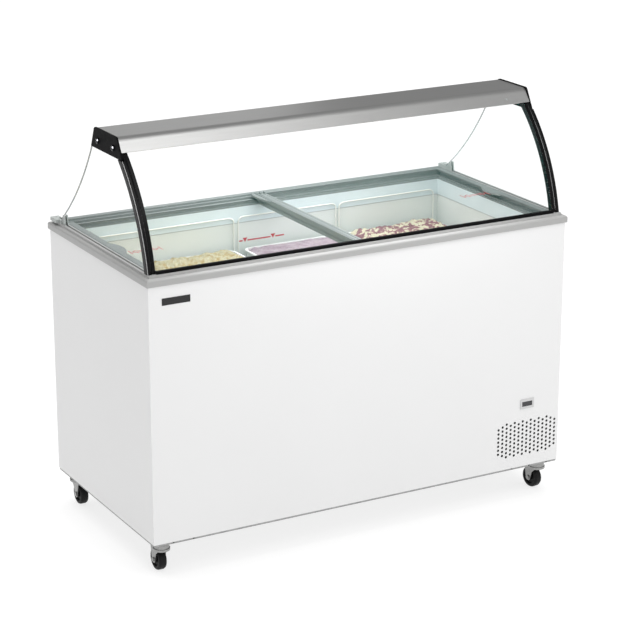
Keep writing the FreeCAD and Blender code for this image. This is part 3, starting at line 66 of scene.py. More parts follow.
class Shader:
    """A node-based material under construction, with object coordinates in metres."""

    def __init__(self, name, colour, roughness, metallic=0.0):
        """Starts with plain values, which textures may replace."""
        self.material = bpy.data.materials.new(name)
        self.material.use_nodes = True
        self.tree = self.material.node_tree
        self.surface = self.tree.nodes["Principled BSDF"]
        self.surface.inputs["Base Color"].default_value = colour
        self.surface.inputs["Roughness"].default_value = roughness
        self.surface.inputs["Metallic"].default_value = metallic
        self.material.diffuse_color = colour
        self.colour = colour
        self.place = self.tree.nodes.new("ShaderNodeTexCoord").outputs["Object"]

    def link(self, output, target):
        """Feeds one node's output to another's input."""
        self.tree.links.new(output, target)

    def stretched(self, scale):
        """Coordinates multiplied by (x, y, z)."""
        mapping = self.tree.nodes.new("ShaderNodeMapping")
        mapping.inputs["Scale"].default_value = scale
        self.link(self.place, mapping.inputs["Vector"])
        return mapping.outputs["Vector"]

    def noise(self, per_metre, detail=3.0, stretch=None, roughness=0.55):
        """Noise from 0 to 1, with per_metre features in a metre."""
        node = self.tree.nodes.new("ShaderNodeTexNoise")
        node.inputs["Scale"].default_value = per_metre
        node.inputs["Detail"].default_value = detail
        node.inputs["Roughness"].default_value = roughness
        self.link(self.stretched(stretch) if stretch else self.place, node.inputs["Vector"])
        return node.outputs["Fac"]

    def cells(self, per_metre, output="Distance"):
        """Voronoi cells, per_metre across a metre."""
        node = self.tree.nodes.new("ShaderNodeTexVoronoi")
        node.inputs["Scale"].default_value = per_metre
        self.link(self.place, node.inputs["Vector"])
        return node.outputs[output]

    def between(self, value, low, high, from_low=NOISE_LOW, from_high=NOISE_HIGH):
        """A value mapped from one range to another."""
        node = self.tree.nodes.new("ShaderNodeMapRange")
        node.inputs["From Min"].default_value = from_low
        node.inputs["From Max"].default_value = from_high
        node.inputs["To Min"].default_value = low
        node.inputs["To Max"].default_value = high
        self.link(value, node.inputs["Value"])
        return node.outputs["Result"]

    def mix(self, share, first, second):
        """A colour between two, each a colour or an output."""
        node = self.tree.nodes.new("ShaderNodeMix")
        node.data_type = "RGBA"
        sockets = [socket for socket in node.inputs if socket.type == "RGBA"]
        for socket, value in zip(sockets, (first, second)):
            if isinstance(value, tuple):
                socket.default_value = value
            else:
                self.link(value, socket)
        self.link(share, node.inputs["Factor"])
        return next(output for output in node.outputs if output.type == "RGBA")

    def fade(self, value, start, stop):
        """A share that goes from 0 to 1 while a value goes from start to stop."""
        return self.between(value, low=0.0, high=1.0, from_low=start, from_high=stop)

    def paint(self, output):
        """Makes an output the surface's colour."""
        self.link(output, self.surface.inputs["Base Color"])

    def vary(self, per_metre, darker, detail=3.0, stretch=None):
        """Lets the colour drift a little darker."""
        dark = tuple(channel * darker for channel in self.colour[:3]) + (1.0,)
        share = self.between(self.noise(per_metre, detail, stretch), low=0.0, high=1.0)
        self.paint(self.mix(share, self.colour, dark))

    def rough(self, per_metre, low, high, stretch=None):
        """Varies the roughness."""
        value = self.between(self.noise(per_metre, stretch=stretch), low, high)
        self.link(value, self.surface.inputs["Roughness"])

    def bump(self, height, depth, strength=1.0):
        """Adds relief: depth in metres for a height from 0 to 1."""
        node = self.tree.nodes.new("ShaderNodeBump")
        node.inputs["Distance"].default_value = depth
        node.inputs["Strength"].default_value = strength
        self.link(height, node.inputs["Height"])
        self.link(node.outputs["Normal"], self.surface.inputs["Normal"])


DRAWN_OUT = 0.02  # scale of the texture along the draw lines of extruded plastic
BRUSHED_OUT = 0.012  # and along the grain of brushed sheet


def powder_coat():
    """White powder-coated sheet with faint orange peel."""
    shader = Shader("powder_coat", srgb(233, 233, 233), roughness=0.32)
    shader.surface.inputs["Coat Weight"].default_value = 0.15
    shader.surface.inputs["Coat Roughness"].default_value = 0.2
    shader.vary(per_metre=2.5, darker=0.985)
    shader.rough(per_metre=60, low=0.28, high=0.36)
    shader.bump(shader.noise(per_metre=420, detail=2.0), depth=0.00006, strength=0.5)
    return shader.material


def galvanised():
    """Zinc-coated sheet with soft spangle."""
    shader = Shader("galvanised", srgb(160, 160, 159), roughness=0.45, metallic=0.3)
    share = shader.fade(shader.cells(per_metre=160, output="Color"), start=0.1, stop=0.9)
    shader.paint(shader.mix(share, srgb(168, 168, 167), srgb(146, 147, 147)))
    shader.rough(per_metre=110, low=0.34, high=0.5)
    shader.bump(shader.noise(per_metre=300), depth=0.00008, strength=0.4)
    return shader.material


def zinc_plate():
    """Zinc plating of the castors."""
    shader = Shader("zinc_plate", srgb(160, 160, 159), roughness=0.32, metallic=0.8)
    shader.vary(per_metre=180, darker=0.82)
    shader.rough(per_metre=140, low=0.2, high=0.38)
    shader.bump(shader.noise(per_metre=500), depth=0.00006, strength=0.5)
    return shader.material


def moulded(name, colour, roughness, grain=700, relief=0.00005, darker=0.94, gloss=0.5):
    """Moulded plastic with a fine grain."""
    shader = Shader(name, colour, roughness)
    shader.surface.inputs["Specular IOR Level"].default_value = gloss
    shader.vary(per_metre=14, darker=darker)
    shader.rough(per_metre=90, low=roughness - 0.05, high=roughness + 0.07)
    shader.bump(shader.noise(per_metre=grain, detail=2.0), depth=relief, strength=0.6)
    return shader.material


def extruded(name, colour, roughness, along):
    """Extruded plastic, with faint draw lines along it."""
    shader = Shader(name, colour, roughness)
    lines = tuple(DRAWN_OUT if axis == along else 1.0 for axis in "xyz")
    shader.vary(per_metre=300, darker=0.985, stretch=lines)
    shader.rough(per_metre=60, low=roughness - 0.05, high=roughness + 0.06)
    shader.bump(shader.noise(per_metre=900, detail=2.0, stretch=lines), depth=0.00001, strength=0.2)
    return shader.material


def brushed_aluminium():
    """Satin anodised sheet, brushed along X."""
    shader = Shader("brushed_aluminium", srgb(189, 189, 188), roughness=0.38, metallic=0.95)
    grain = (BRUSHED_OUT, 1.0, 1.0)
    shader.vary(per_metre=700, darker=0.97, stretch=grain)
    shader.rough(per_metre=500, low=0.35, high=0.43, stretch=grain)
    shader.bump(shader.noise(per_metre=1500, detail=2.0, stretch=grain), depth=0.00001, strength=0.3)
    return shader.material


def clear_glass(name, tint, share, roughness=0.03):
    """A clear pane or its cut edge: share is how much of its own tint it shows."""
    shader = Shader(name, tint, roughness)
    shader.vary(per_metre=3, darker=0.98)
    shader.rough(per_metre=25, low=roughness - 0.01, high=roughness + 0.02)
    shader.surface.inputs["Alpha"].default_value = share
    shader.surface.inputs["IOR"].default_value = 1.5
    return shader.material


def polished_screw():
    """Dark polished metal that shows bright glints."""
    shader = Shader("polished_screw", srgb(52, 52, 54), roughness=0.1, metallic=1.0)
    shader.vary(per_metre=400, darker=0.85)
    shader.rough(per_metre=600, low=0.06, high=0.14)
    return shader.material


def tyre_rubber():
    """Black thermoplastic tread."""
    shader = Shader("tyre_rubber", srgb(16, 16, 17), roughness=0.5)
    shader.surface.inputs["Specular IOR Level"].default_value = 0.2
    shader.vary(per_metre=60, darker=0.75)
    shader.rough(per_metre=120, low=0.42, high=0.6)
    shader.bump(shader.noise(per_metre=800), depth=0.00008, strength=0.6)
    return shader.material


def cast_black():
    """Black enamel on rough cast and pressed steel."""
    shader = Shader("cast_black", srgb(30, 30, 31), roughness=0.4)
    shader.vary(per_metre=50, darker=0.7)
    shader.rough(per_metre=80, low=0.32, high=0.5)
    shader.bump(shader.noise(per_metre=260), depth=0.0003, strength=0.5)
    return shader.material


def fins_with_painted_gaps():
    """Thin aluminium fins seen edge on, with painted shade in the gaps between them."""
    shader = Shader("fins_with_painted_gaps", srgb(150, 152, 153), roughness=0.4, metallic=0.8)
    wave = shader.tree.nodes.new("ShaderNodeTexWave")
    wave.inputs["Scale"].default_value = 110
    shader.link(shader.place, wave.inputs["Vector"])
    # the wave's dark colour is painted shade in the gaps between the fins
    shader.paint(shader.mix(wave.outputs["Fac"], srgb(160, 162, 163), srgb(40, 41, 42)))
    shader.rough(per_metre=90, low=0.34, high=0.5)
    shader.bump(wave.outputs["Fac"], depth=0.001, strength=0.8)
    return shader.material


def frosted_liner():
    """Pale liner sheet with a thin bloom of frost."""
    shader = Shader("frosted_liner", srgb(223, 228, 225), roughness=0.4)
    shader.vary(per_metre=7, darker=0.955, detail=5.0)
    shader.rough(per_metre=40, low=0.34, high=0.52)
    shader.bump(shader.noise(per_metre=240, detail=5.0), depth=0.00012, strength=0.5)
    return shader.material


def foam():
    """Closed-cell foam, seen only where panels are taken off."""
    shader = Shader("foam", srgb(226, 210, 160), roughness=0.85)
    shader.vary(per_metre=90, darker=0.86)
    shader.bump(shader.cells(per_metre=450), depth=0.0006)
    return shader.material


def print_red():
    """Red printing ink."""
    shader = Shader("print_red", srgb(200, 62, 72), roughness=0.45)
    shader.vary(per_metre=900, darker=0.8)
    return shader.material


def vanilla():
    """Pale yellow ice cream with golden crumbs in drifts."""
    shader = Shader("vanilla_crumb", srgb(192, 187, 160), roughness=0.62)
    drifts = shader.fade(shader.noise(per_metre=70, detail=6.0, roughness=0.75), start=0.46, stop=0.62)
    crumbs = shader.between(shader.cells(per_metre=190), low=1.0, high=0.0, from_low=0.2, from_high=0.5)
    pale = shader.mix(crumbs, srgb(172, 168, 144), srgb(162, 152, 114))
    shader.paint(shader.mix(drifts, pale, srgb(150, 128, 77)))
    finish_scoop(shader)
    return shader.material


def caramel():
    """Tan ice cream."""
    shader = Shader("caramel", srgb(190, 170, 118), roughness=0.6)
    share = shader.fade(shader.noise(per_metre=60, detail=5.0), start=0.35, stop=0.65)
    shader.paint(shader.mix(share, srgb(196, 178, 130), srgb(172, 146, 92)))
    finish_scoop(shader)
    return shader.material


def strawberry():
    """Pale pink ice cream with darker specks of fruit."""
    shader = Shader("strawberry", srgb(192, 176, 185), roughness=0.6)
    drift = shader.fade(shader.noise(per_metre=34, detail=5.0), start=0.35, stop=0.65)
    pink = shader.mix(drift, srgb(166, 152, 160), srgb(149, 131, 143))
    specks = shader.between(shader.cells(per_metre=110), low=1.0, high=0.0, from_low=0.12, from_high=0.24)
    shader.paint(shader.mix(specks, pink, srgb(130, 94, 112)))
    finish_scoop(shader)
    return shader.material


def cherry_ripple():
    """Cream ice cream under a broken layer of dark cherry sauce."""
    shader = Shader("cherry_ripple", srgb(203, 199, 178), roughness=0.55)
    cream = shader.mix(shader.noise(per_metre=40), srgb(200, 196, 176), srgb(184, 177, 148))
    sauce = shader.fade(shader.noise(per_metre=44, detail=3.0, roughness=0.6), start=0.49, stop=0.53)
    shader.paint(shader.mix(sauce, cream, srgb(127, 86, 94)))
    finish_scoop(shader)
    return shader.material


def finish_scoop(shader):
    """The shared finish of ice cream: icy grain, a little light through it."""
    shader.rough(per_metre=160, low=0.45, high=0.7)
    shader.surface.inputs["Subsurface Weight"].default_value = 0.12
    shader.surface.inputs["Subsurface Radius"].default_value = (0.006, 0.005, 0.004)  # red, green, blue
    shader.surface.inputs["Subsurface Scale"].default_value = 1.0
    shader.bump(shader.noise(per_metre=330, detail=5.0), depth=0.0008, strength=0.6)


BLACK = srgb(20, 20, 21)
RAIL_GREY = srgb(168, 168, 167)
# darker grey of the rails' inner steps and the rear rail's raised band: painted shade
RAIL_SHADE_GREY = srgb(126, 132, 131)
LID_GREY = srgb(128, 134, 133)

materials = {
    "powder_coat": powder_coat(),
    "galvanised": galvanised(),
    "zinc": zinc_plate(),
    "rail_x": extruded("rail_grey_x", RAIL_GREY, roughness=0.36, along="x"),
    "rail_y": extruded("rail_grey_y", RAIL_GREY, roughness=0.36, along="y"),
    # the rails' inner faces get a darker grey as painted shade
    "rail_shade_x": extruded("rail_painted_shade_x", RAIL_SHADE_GREY, roughness=0.4, along="x"),
    "rail_shade_y": extruded("rail_painted_shade_y", RAIL_SHADE_GREY, roughness=0.4, along="y"),
    "lid_x": extruded("lid_grey_x", LID_GREY, roughness=0.38, along="x"),
    "lid_y": extruded("lid_grey_y", LID_GREY, roughness=0.38, along="y"),
    "black": moulded("black_plastic", BLACK, roughness=0.5, darker=0.8, gloss=0.03),
    "post": moulded("post_black", srgb(12, 12, 13), roughness=0.24, grain=300, relief=0.00001,
                    darker=0.8, gloss=0.12),
    "bracket": moulded("bracket_grey", srgb(178, 183, 181), roughness=0.42),
    "aluminium": brushed_aluminium(),
    "canopy_glass": clear_glass("canopy_glass", tint=srgb(30, 190, 180), share=0.013),
    "lid_glass": clear_glass("lid_glass", tint=srgb(150, 185, 176), share=0.02),
    "glass_edge": clear_glass("glass_edge", tint=srgb(118, 125, 123), share=0.8, roughness=0.1),
    "screw": polished_screw(),
    "tyre": tyre_rubber(),
    "cast": cast_black(),
    "fins": fins_with_painted_gaps(),
    "liner": frosted_liner(),
    "collar": moulded("collar_plastic", srgb(217, 229, 232), roughness=0.4),
    "foam": foam(),
    "wire": moulded("coated_wire", srgb(238, 239, 233), roughness=0.35),
    "tub": moulded("tub_plastic", srgb(242, 244, 243), roughness=0.34),
    "lamp": moulded("lamp_white", srgb(238, 238, 234), roughness=0.4),
    "plate": moulded("plate_black", srgb(16, 16, 17), roughness=0.22, darker=0.7),
    "bezel": moulded("bezel_grey", srgb(205, 205, 205), roughness=0.4),
    "screen": moulded("screen_dark", srgb(58, 58, 60), roughness=0.18, darker=0.75),
    # one matt grey for the painted shadow line under the collar and for the header's rivet
    "seam": moulded("seam_shade_and_rivet_grey", srgb(150, 154, 153), roughness=0.5),
    "red": print_red(),
    "vanilla": vanilla(),
    "caramel": caramel(),
    "strawberry": strawberry(),
    "cherry": cherry_ripple(),
}

NODE_MATERIALS = {
    "front_panel": "powder_coat", "side_panel": "powder_coat", "rear_panel": "powder_coat",
    "base_tray": "galvanised", "castor_plates": "zinc", "castor_fork": "zinc", "castor_axle": "zinc",
    "castor_wheel": "tyre", "brake_pedal": "black",
    "foam_insulation": "foam", "inner_liner": "liner", "liner_collar": "collar",
    "trim_rail_front": "rail_x", "trim_rail_rear": "rail_x",
    "trim_rail_left": "rail_y", "trim_rail_right": "rail_y",
    "left_lid_outer_end": "lid_y", "left_lid_inner_end": "lid_y", "left_lid_runners": "lid_x",
    "right_lid_outer_end": "lid_y", "right_lid_inner_end": "lid_y", "right_lid_runners": "lid_x",
    "left_lid_glass": "lid_glass", "right_lid_glass": "lid_glass",
    "front_curved_glass": "canopy_glass", "side_glass": "canopy_glass",
    "edge_post": "post", "glass_foot_strip": "black", "header_cap": "black",
    "header_cover": "aluminium", "header_screws": "screw", "header_lamp": "lamp", "lamp_switch": "black",
    "rear_bracket": "bracket", "tub_racks": "wire", "tubs": "tub",
    "name_plate": "plate", "thermometer_bezel": "bezel", "thermometer_screen": "screen",
    "compressor": "cast", "condenser": "fins", "fan_motor": "cast", "fan_blades": "black",
    "power_inlet": "black",
}


CUT_EDGE_LEAN = 0.5  # a cut edge's normal has less than this along the pane's thin axis
TRACK_START = 0.031  # how far inside a rail's outer edge its steps begin
BAND_START = 0.0135  # how far inside the rear rail's outer edge its raised band begins
TRACK_TOLERANCE = 0.0005


def show_edges(pane, across):
    """Gives a flat pane's cut edges their own material; across is the pane's thin axis."""
    pane.data.materials.append(materials["glass_edge"])
    for face in pane.data.polygons:
        if abs(face.normal[across]) < CUT_EDGE_LEAN:
            face.material_index = 1


def paint_rail_shade():
    """Gives the rails' inner steps, and the rear one's raised band, a darker grey that is painted shade.
    """
    edge_y, edge_x = abs(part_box("trim_rail_front")[0].y), abs(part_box("trim_rail_left")[0].x)
    for side, axis, material, inner in (
            ("front", 1, "rail_shade_x", edge_y - TRACK_START), ("rear", 1, "rail_shade_x", edge_y - BAND_START),
            ("left", 0, "rail_shade_y", edge_x - TRACK_START), ("right", 0, "rail_shade_y", edge_x - TRACK_START)):
        rail = nodes[f"trim_rail_{side}"]
        rail.data.materials.append(materials[material])
        for face in rail.data.polygons:
            if abs((rail.matrix_world @ face.center)[axis]) < inner + TRACK_TOLERANCE:
                face.material_index = 1


def dress_frame():
    """Gives every CAD node that stays in view its material."""
    for name, thing in nodes.items():
        matches = [start for start in NODE_MATERIALS if name.startswith(start)]
        if matches:
            chosen = materials[NODE_MATERIALS[max(matches, key=len)]]
            thing.data.materials.clear()
            thing.data.materials.append(chosen)
    for name in ("side_glass_left", "side_glass_right"):
        show_edges(nodes[name], across=0)
    paint_rail_shade()


# Pieces -------------------------------------------------------------------------------------------

UP = Vector((0, 0, 1))


def piece(name, mesh_maker, material, body):
    """A new mesh object from a bmesh that mesh_maker fills, riding on a body."""
    shape = bmesh.new()
    mesh_maker(shape)
    bmesh.ops.recalc_face_normals(shape, faces=shape.faces)
    mesh = bpy.data.meshes.new(name)
    shape.to_mesh(mesh)
    shape.free()
    thing = bpy.data.objects.new(name, mesh)
    bpy.context.scene.collection.objects.link(thing)
    mesh.materials.append(materials[material])
    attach(thing, body)
    return thing


def smooth(thing):
    """Smooth shading."""
    for face in thing.data.polygons:
        face.use_smooth = True
    return thing


def join_rings(shape, low, high):
    """Joins two closed rings of vertices with a band of faces."""
    for index in range(len(low)):
        after = (index + 1) % len(low)
        shape.faces.new((low[index], low[after], high[after], high[index]))


def slab(shape, outline, up, thickness):
    """A thin flat plate: the outline's points, and the same points raised along up."""
    low = [shape.verts.new(point) for point in outline]
    high = [shape.verts.new(point + up * thickness) for point in outline]
    shape.faces.new(low)
    shape.faces.new(high)
    join_rings(shape, low, high)


def strip(shape, start, end, width, thickness, up=UP):
    """A thin flat bar between two points, lying across up."""
    side = (end - start).normalized().cross(up).normalized() * width / 2
    slab(shape, [start - side, start + side, end + side, end - side], up, thickness)


def lathe(shape, profile, base, axis, segments=32):
    """A turned shape: profile lists (radius, height) along axis from base, closed at both ends."""
    side = axis.orthogonal().normalized()
    other = axis.cross(side)
    rings = []
    for radius, height in profile:
        ring = []
        for index in range(segments):
            angle = math.tau * index / segments
            out = side * math.cos(angle) + other * math.sin(angle)
            ring.append(shape.verts.new(base + axis * height + out * radius))
        rings.append(ring)
    for low, high in zip(rings, rings[1:]):
        join_rings(shape, low, high)
    shape.faces.new(rings[0])
    shape.faces.new(rings[-1])


# Ice cream ----------------------------------------------------------------------------------------

TUB_SIZE = Vector((0.322, 0.164))
TUB_RIM = 0.007  # from a tub's outer edge to its inside wall
TUB_COLUMNS = {-0.276: "vanilla", 0.0765: "strawberry", 0.4225: "cherry"}
TUB_ROWS = (0.176, 0.0, -0.176)
SIDE_TUB = (-0.524, 0.095)
FILLING_GAP = 0.0004  # between a filling and its tub's wall
FILLING_CORNER = 0.02
GRID_STEP = 0.0035

# Heights of the heaps above the fillings' edges.
HEAP = {"vanilla": 0.015, "caramel": 0.03, "strawberry": 0.01, "cherry": 0.019}
EDGE_SINK = 0.004  # how far the filling's edge lies below its level in the frame
HEAP_SLOPE = 0.025  # how far in from the edge the heap reaches its height
HEAP_CURVE = 0.6  # exponent of its rise
LUMPS = (26, 0.9, 2.0, 0.5)  # features in a metre, increment, lacunarity, share of the heap
RIPPLE = (90, 0.8, 2.1, 0.22)
RELIEF_OCTAVES = 4
SEED_STEP = Vector((7, 11))  # sets the noise of one tub apart from the next


def relief(at, kind):
    """Fractal noise at a point, as a share of the heap's height."""
    per_metre, increment, lacunarity, share = kind
    return noise.fractal(at * per_metre, increment, lacunarity, RELIEF_OCTAVES) * share


def filling(name, centre, half, flavour):
    """A scooped and frosted filling: flat floor, rounded corners, lumpy top."""
    low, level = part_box("ice_cream")[0].z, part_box("ice_cream")[1].z
    steps_x, steps_y = round(half.x * 2 / GRID_STEP), round(half.y * 2 / GRID_STEP)
    straight_x, straight_y = half.x - FILLING_CORNER, half.y - FILLING_CORNER
    seed = Vector((centre.x * SEED_STEP.x, centre.y * SEED_STEP.y, len(name)))

    def rounded(u, v):
        """Maps a square's point to the rounded rectangle."""
        x, y = u * half.x, v * half.y
        over_x, over_y = abs(x) - straight_x, abs(y) - straight_y
        if over_x > 0 and over_y > 0:
            reach, length = max(over_x, over_y), math.hypot(over_x, over_y)
            x = math.copysign(straight_x + over_x * reach / length, x)
            y = math.copysign(straight_y + over_y * reach / length, y)
        return x, y

    def height(x, y, edge):
        """The top's height at a point of the filling, with its distance from the edge."""
        at = Vector((x, y, 0)) + seed
        crown = HEAP[flavour] * min(1.0, edge / HEAP_SLOPE) ** HEAP_CURVE
        return level - EDGE_SINK + crown * (1 + relief(at, LUMPS) + relief(at, RIPPLE))

    def make(shape):
        """Fills the mesh: the top's grid, the walls down from its rim, and the floor."""
        grid = []
        for row in range(steps_y + 1):
            line = []
            for column in range(steps_x + 1):
                u, v = column / steps_x * 2 - 1, row / steps_y * 2 - 1
                x, y = rounded(u, v)
                edge = min((1 - abs(u)) * half.x, (1 - abs(v)) * half.y)
                line.append(shape.verts.new((centre.x + x, centre.y + y, height(x, y, edge))))
            grid.append(line)
        for near, far in zip(grid, grid[1:]):
            for column in range(steps_x):
                shape.faces.new((near[column], near[column + 1], far[column + 1], far[column]))
        rim = (grid[0][:-1] + [line[-1] for line in grid[:-1]]
               + grid[-1][:0:-1] + [line[0] for line in grid[:0:-1]])
        foot = [shape.verts.new((vertex.co.x, vertex.co.y, low)) for vertex in rim]
        join_rings(shape, rim, foot)
        shape.faces.new(foot)

    return smooth(piece(name, make, flavour, "root"))


def fillings():
    """All ten fillings, which stand for the frame's plain ones."""
    inset = Vector((TUB_RIM + FILLING_GAP, TUB_RIM + FILLING_GAP))
    half, half_turned = TUB_SIZE / 2 - inset, TUB_SIZE.yx / 2 - inset
    made = []
    for column, (x, flavour) in enumerate(TUB_COLUMNS.items()):
        for row, y in enumerate(TUB_ROWS):
            made.append(filling(f"{flavour}_{column}_{row}", Vector((x, y)), half, flavour))
    made.append(filling("caramel_side", Vector(SIDE_TUB), half_turned, "caramel"))
    for thing in made:
        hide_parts("ice_cream")


# Printed marks ------------------------------------------------------------------------------------

PRINT = 0.0002
ARROW_LINE = 0.0024
LINER_GAUGE = 0.002


def slide_mark(name, body, left, right, y, top):
    """A printed two-headed arrow between two bars on a lid: slide it this way."""
    half_bar, tip_gap, shaft_gap, half_shaft = 0.017, 0.006, 0.018, 0.005
    head_length, half_head = 0.014, 0.012

    def make(shape):
        """Fills the mesh with the bars, the open heads and the shaft's two lines."""
        for x, inward in ((left, 1), (right, -1)):
            strip(shape, Vector((x, y - half_bar, top)), Vector((x, y + half_bar, top)), ARROW_LINE, PRINT)
            tip = Vector((x + inward * tip_gap, y, top))
            for side in (-1, 1):
                barb = Vector((inward * head_length, side * half_head, 0))
                strip(shape, tip, tip + barb, ARROW_LINE, PRINT)
        for side in (-1, 1):
            line_y = y + side * half_shaft
            strip(shape, Vector((left + shaft_gap, line_y, top)), Vector((right - shaft_gap, line_y, top)),
                  ARROW_LINE, PRINT)

    piece(name, make, "red", body)


def load_line():
    """Printed fill limit on the liner's back wall: a broken line with two arrow heads on it."""
    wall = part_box("inner_liner")[1].y - LINER_GAUGE
    out = Vector((0, -1, 0))
    left, right, level, line = -0.084, 0.068, 0.728, 0.0042
    heads = [left + share * (right - left) for share in (0.13, 0.75)]
    half_head, above, below = 0.008, 0.0085, 0.005

    def make(shape):
        """Fills the mesh with the line's three parts and the heads in its breaks."""
        starts = [left] + [x + half_head for x in heads]
        stops = [x - half_head for x in heads] + [right]
        for start, stop in zip(starts, stops):
            strip(shape, Vector((start, wall, level)), Vector((stop, wall, level)), line, PRINT, out)
        for x in heads:
            corners = ((x - half_head, level + above), (x + half_head, level + above), (x, level - below))
            slab(shape, [Vector((at_x, wall, at_z)) for at_x, at_z in corners], out, PRINT)

    piece("load_line", make, "red", "root")


# Fittings -----------------------------------------------------------------------------------------

def collar_seam():
    """Grey strip along the lower edge of the liner's collar: a painted shadow line where the collar meets
    the liner.
    """
    low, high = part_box("liner_collar")
    shade_line = 0.0014
    inside_y = high.y - shade_line
    level = low.z - shade_line / 2

    def make(shape):
        """Fills the mesh with a strip along each wall, the end ones between the long ones."""
        for side in (-1, 1):
            for start, end, into in (
                    ((-high.x, side * high.y), (high.x, side * high.y), (0, -side, 0)),
                    ((side * high.x, -inside_y), (side * high.x, inside_y), (-side, 0, 0))):
                strip(shape, Vector((*start, level)), Vector((*end, level)), shade_line, shade_line, Vector(into))

    piece("collar_seam", make, "seam", "root")


def slope_rivet():
    """Domed rivet at the right end of the header's slope."""
    slope_top, slope_foot = Vector((0, -0.127, 1.1925)), Vector((0, -0.153, 1.1555))
    to_right, down_slope, sunk = 0.575, 0.029, 0.0004
    dome = [(0.0042, 0.0), (0.004, 0.0007), (0.003, 0.0011), (0.001, 0.0013)]
    down = (slope_foot - slope_top).normalized()
    out = Vector((0, down.z, -down.y))
    base = slope_top + down * down_slope + Vector((to_right, 0, 0)) - out * sunk

    def make(shape):
        """Fills the mesh with the dome."""
        lathe(shape, dome, base, out)

    smooth(piece("slope_rivet", make, "seam", "root"))


# Stage --------------------------------------------------------------------------------------------

SKY_LEVEL = 0.36
SHADED_SIDE = Vector((0.46, 0.83, 0.31))
SHADED_LEVEL = 0.31
SHADE_START, SHADE_FULL = 0.2, 0.95  # cosines of the angle from the shaded side
FLOOR_GLOW = 0.75
WALL_GLOW = 1.0
FAR = 60  # how far the floor and the wall round it reach
WALL_STEPS = 48
GLINT_OVERHANG = 1.3  # the glint's length over the distance between its start and end


def surround():
    """A soft studio sky, darker behind the cabinet to its right."""
    world = bpy.data.worlds.new("studio")
    bpy.context.scene.world = world
    world.use_nodes = True
    tree = world.node_tree
    background = tree.nodes["Background"]
    direction = tree.nodes.new("ShaderNodeTexCoord").outputs["Generated"]
    facing = tree.nodes.new("ShaderNodeVectorMath")
    facing.operation = "DOT_PRODUCT"
    facing.inputs[1].default_value = SHADED_SIDE
    tree.links.new(direction, facing.inputs[0])
    fade = tree.nodes.new("ShaderNodeMapRange")
    fade.interpolation_type = "SMOOTHSTEP"
    fade.inputs["From Min"].default_value = SHADE_START
    fade.inputs["From Max"].default_value = SHADE_FULL
    fade.inputs["To Min"].default_value = SKY_LEVEL
    fade.inputs["To Max"].default_value = SHADED_LEVEL
    tree.links.new(facing.outputs["Value"], fade.inputs["Value"])
    tree.links.new(fade.outputs["Result"], background.inputs["Strength"])
    background.inputs["Color"].default_value = (1, 1, 1, 1)


def paper_surface(name, corners, faces, glow):
    """A surface of matt paper that also glows by itself."""
    mesh = bpy.data.meshes.new(name)
    mesh.from_pydata(corners, [], faces)
    thing = bpy.data.objects.new(name, mesh)
    bpy.context.scene.collection.objects.link(thing)
    paper = Shader(f"{name}_paper", (0.3, 0.3, 0.3, 1), roughness=0.95)
    paper.vary(per_metre=0.4, darker=0.995)
    paper.surface.inputs["Emission Color"].default_value = (1, 1, 1, 1)
    paper.surface.inputs["Emission Strength"].default_value = glow
    mesh.materials.append(paper.material)
    return thing


def paper_floor():
    """A pale floor that stays white, with almost no shadow."""
    corners = [(-FAR, -FAR, 0), (FAR, -FAR, 0), (FAR, FAR, 0), (-FAR, FAR, 0)]
    floor = paper_surface("floor", corners, [(0, 1, 2, 3)], FLOOR_GLOW)


def backdrop():
    """A tall white wall round the floor that gives no light, so that low views stay white."""
    angles = [math.tau * step / WALL_STEPS for step in range(WALL_STEPS)]
    corners = [(FAR * math.cos(angle), FAR * math.sin(angle), z)
               for z in (-2 * FAR, 2 * FAR) for angle in angles]
    faces = []
    for step in range(WALL_STEPS):
        after = (step + 1) % WALL_STEPS
        faces.append((step, after, after + WALL_STEPS, step + WALL_STEPS))
    wall = paper_surface("backdrop", corners, faces, WALL_GLOW)
    for ray in ("diffuse", "glossy", "transmission", "volume_scatter", "shadow"):
        setattr(wall, f"visible_{ray}", False)


def new_lamp(name, kind, power):
    """A light in the scene, not yet placed."""
    light = bpy.data.lights.new(name, kind)
    light.energy = power
    lamp = bpy.data.objects.new(name, light)
    bpy.context.scene.collection.objects.link(lamp)
    return lamp


def far_light(name, towards, strength, spread):
    """A distant soft light: towards points from the cabinet to it, spread is its width in degrees."""
    lamp = new_lamp(name, "SUN", strength)
    lamp.data.angle = math.radians(spread)
    lamp.rotation_euler = (-Vector(towards)).to_track_quat("-Z", "Y").to_euler()
    return lamp


def soft_box(name, place, target, side, power):
    """A square area light aimed at a point."""
    lamp = new_lamp(name, "AREA", power)
    lamp.data.size = side
    lamp.location = place
    lamp.rotation_euler = (Vector(target) - Vector(place)).to_track_quat("-Z", "Y").to_euler()


def glint(name, start, end, width, target, power, shown_in):
    """A long soft box from start to end that only shows as a reflection in the nodes of shown_in."""
    start, end, target = Vector(start), Vector(end), Vector(target)
    middle = (start + end) / 2
    back = (middle - target).normalized()
    along = (end - start).normalized()
    across = along.cross(back).normalized()
    lamp = new_lamp(name, "AREA", power)
    lamp.data.shape = "RECTANGLE"
    lamp.data.size = width
    lamp.data.size_y = (end - start).length * GLINT_OVERHANG
    lamp.location = middle
    lamp.rotation_euler = Matrix((across, back.cross(across), back)).transposed().to_euler()
    lamp.visible_diffuse = False
    lamp.visible_transmission = False
    receivers = bpy.data.collections.new(f"{name}_receivers")
    for node in shown_in:
        receivers.objects.link(nodes[node])
    lamp.light_linking.receiver_collection = receivers


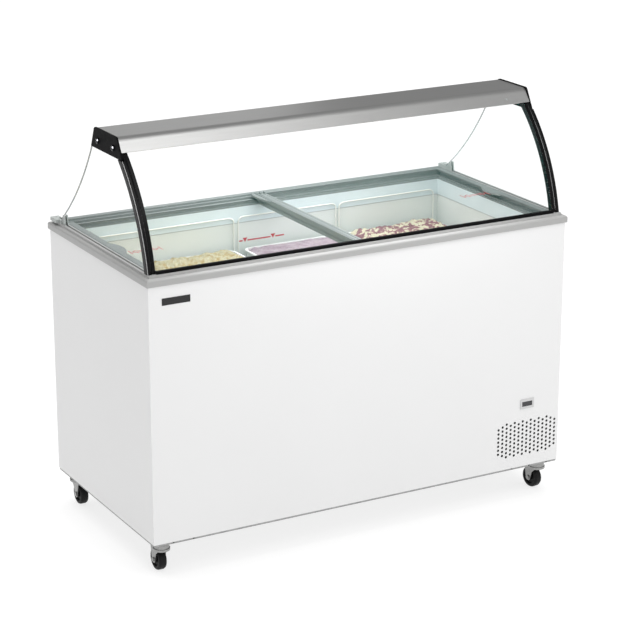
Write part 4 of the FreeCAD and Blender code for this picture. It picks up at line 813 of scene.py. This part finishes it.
def lights():
    """Two distant lights, four soft boxes, and a glint for the posts and the header's screws."""
    overhead = far_light("overhead", towards=(0.04, 0.35, 1.0), strength=2.2, spread=60)
    overhead.visible_glossy = False
    far_light("from_front", towards=(0.0, -1.0, 0.35), strength=0.64, spread=70)
    soft_box("header_front", place=(0.2, -1.96, 3.34), target=(-0.3, -0.14, 1.17), side=1.9, power=24.0)
    soft_box("header_top", place=(0.4, 1.7, 1.85), target=(-0.5, -0.06, 1.19), side=0.9, power=1.2)
    soft_box("in_canopy", place=(0.0, -0.05, 1.12), target=(0.0, -0.02, 0.7), side=0.9, power=4.9)
    soft_box("from_right", place=(2.6, -1.2, 1.5), target=(0.6, -0.25, 0.95), side=0.8, power=8.0)
    glint("post_glint", start=(-2.39, -1.21, 0.86), end=(-2.2, -0.21, 2.26), width=1.3,
          target=(-0.65, -0.25, 1.0), power=420.0,
          shown_in=("edge_post_left", "edge_post_right", "header_screws"))


# Camera -------------------------------------------------------------------------------------------

CAMERA_AZIMUTH = -29.07
CAMERA_ELEVATION = 17.81
CAMERA_DISTANCE = 6.437
CAMERA_LENS = 127.2
CAMERA_TARGET = Vector((0.012, 0.0, 0.568))


def camera():
    """The viewpoint, given as a direction round the cabinet."""
    azimuth, elevation = math.radians(CAMERA_AZIMUTH), math.radians(CAMERA_ELEVATION)
    back = Vector((math.sin(azimuth) * math.cos(elevation), -math.cos(azimuth) * math.cos(elevation),
                   math.sin(elevation)))
    data = bpy.data.cameras.new("camera")
    data.lens = CAMERA_LENS
    viewer = bpy.data.objects.new("camera", data)
    bpy.context.scene.collection.objects.link(viewer)
    viewer.location = CAMERA_TARGET + back * CAMERA_DISTANCE
    viewer.rotation_euler = (-back).to_track_quat("-Z", "Y").to_euler()
    bpy.context.scene.camera = viewer


# The whole cabinet --------------------------------------------------------------------------------

PANE_FACES = 24  # transparent faces that a ray may cross: the canopy and both lids, there and back

bpy.context.scene.view_settings.view_transform = "Standard"
bpy.context.scene.cycles.transparent_max_bounces = PANE_FACES
camera()
surround()
paper_floor()
backdrop()
lights()
dress_frame()
fillings()
slide_mark("slide_mark_right", "right_lid", left=0.506, right=0.59, y=-0.03,
           top=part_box("right_lid_glass")[1].z)
slide_mark("slide_mark_left", "left_lid", left=-0.587, right=-0.497, y=-0.055,
           top=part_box("left_lid_glass")[1].z)
load_line()
collar_seam()
slope_rivet()
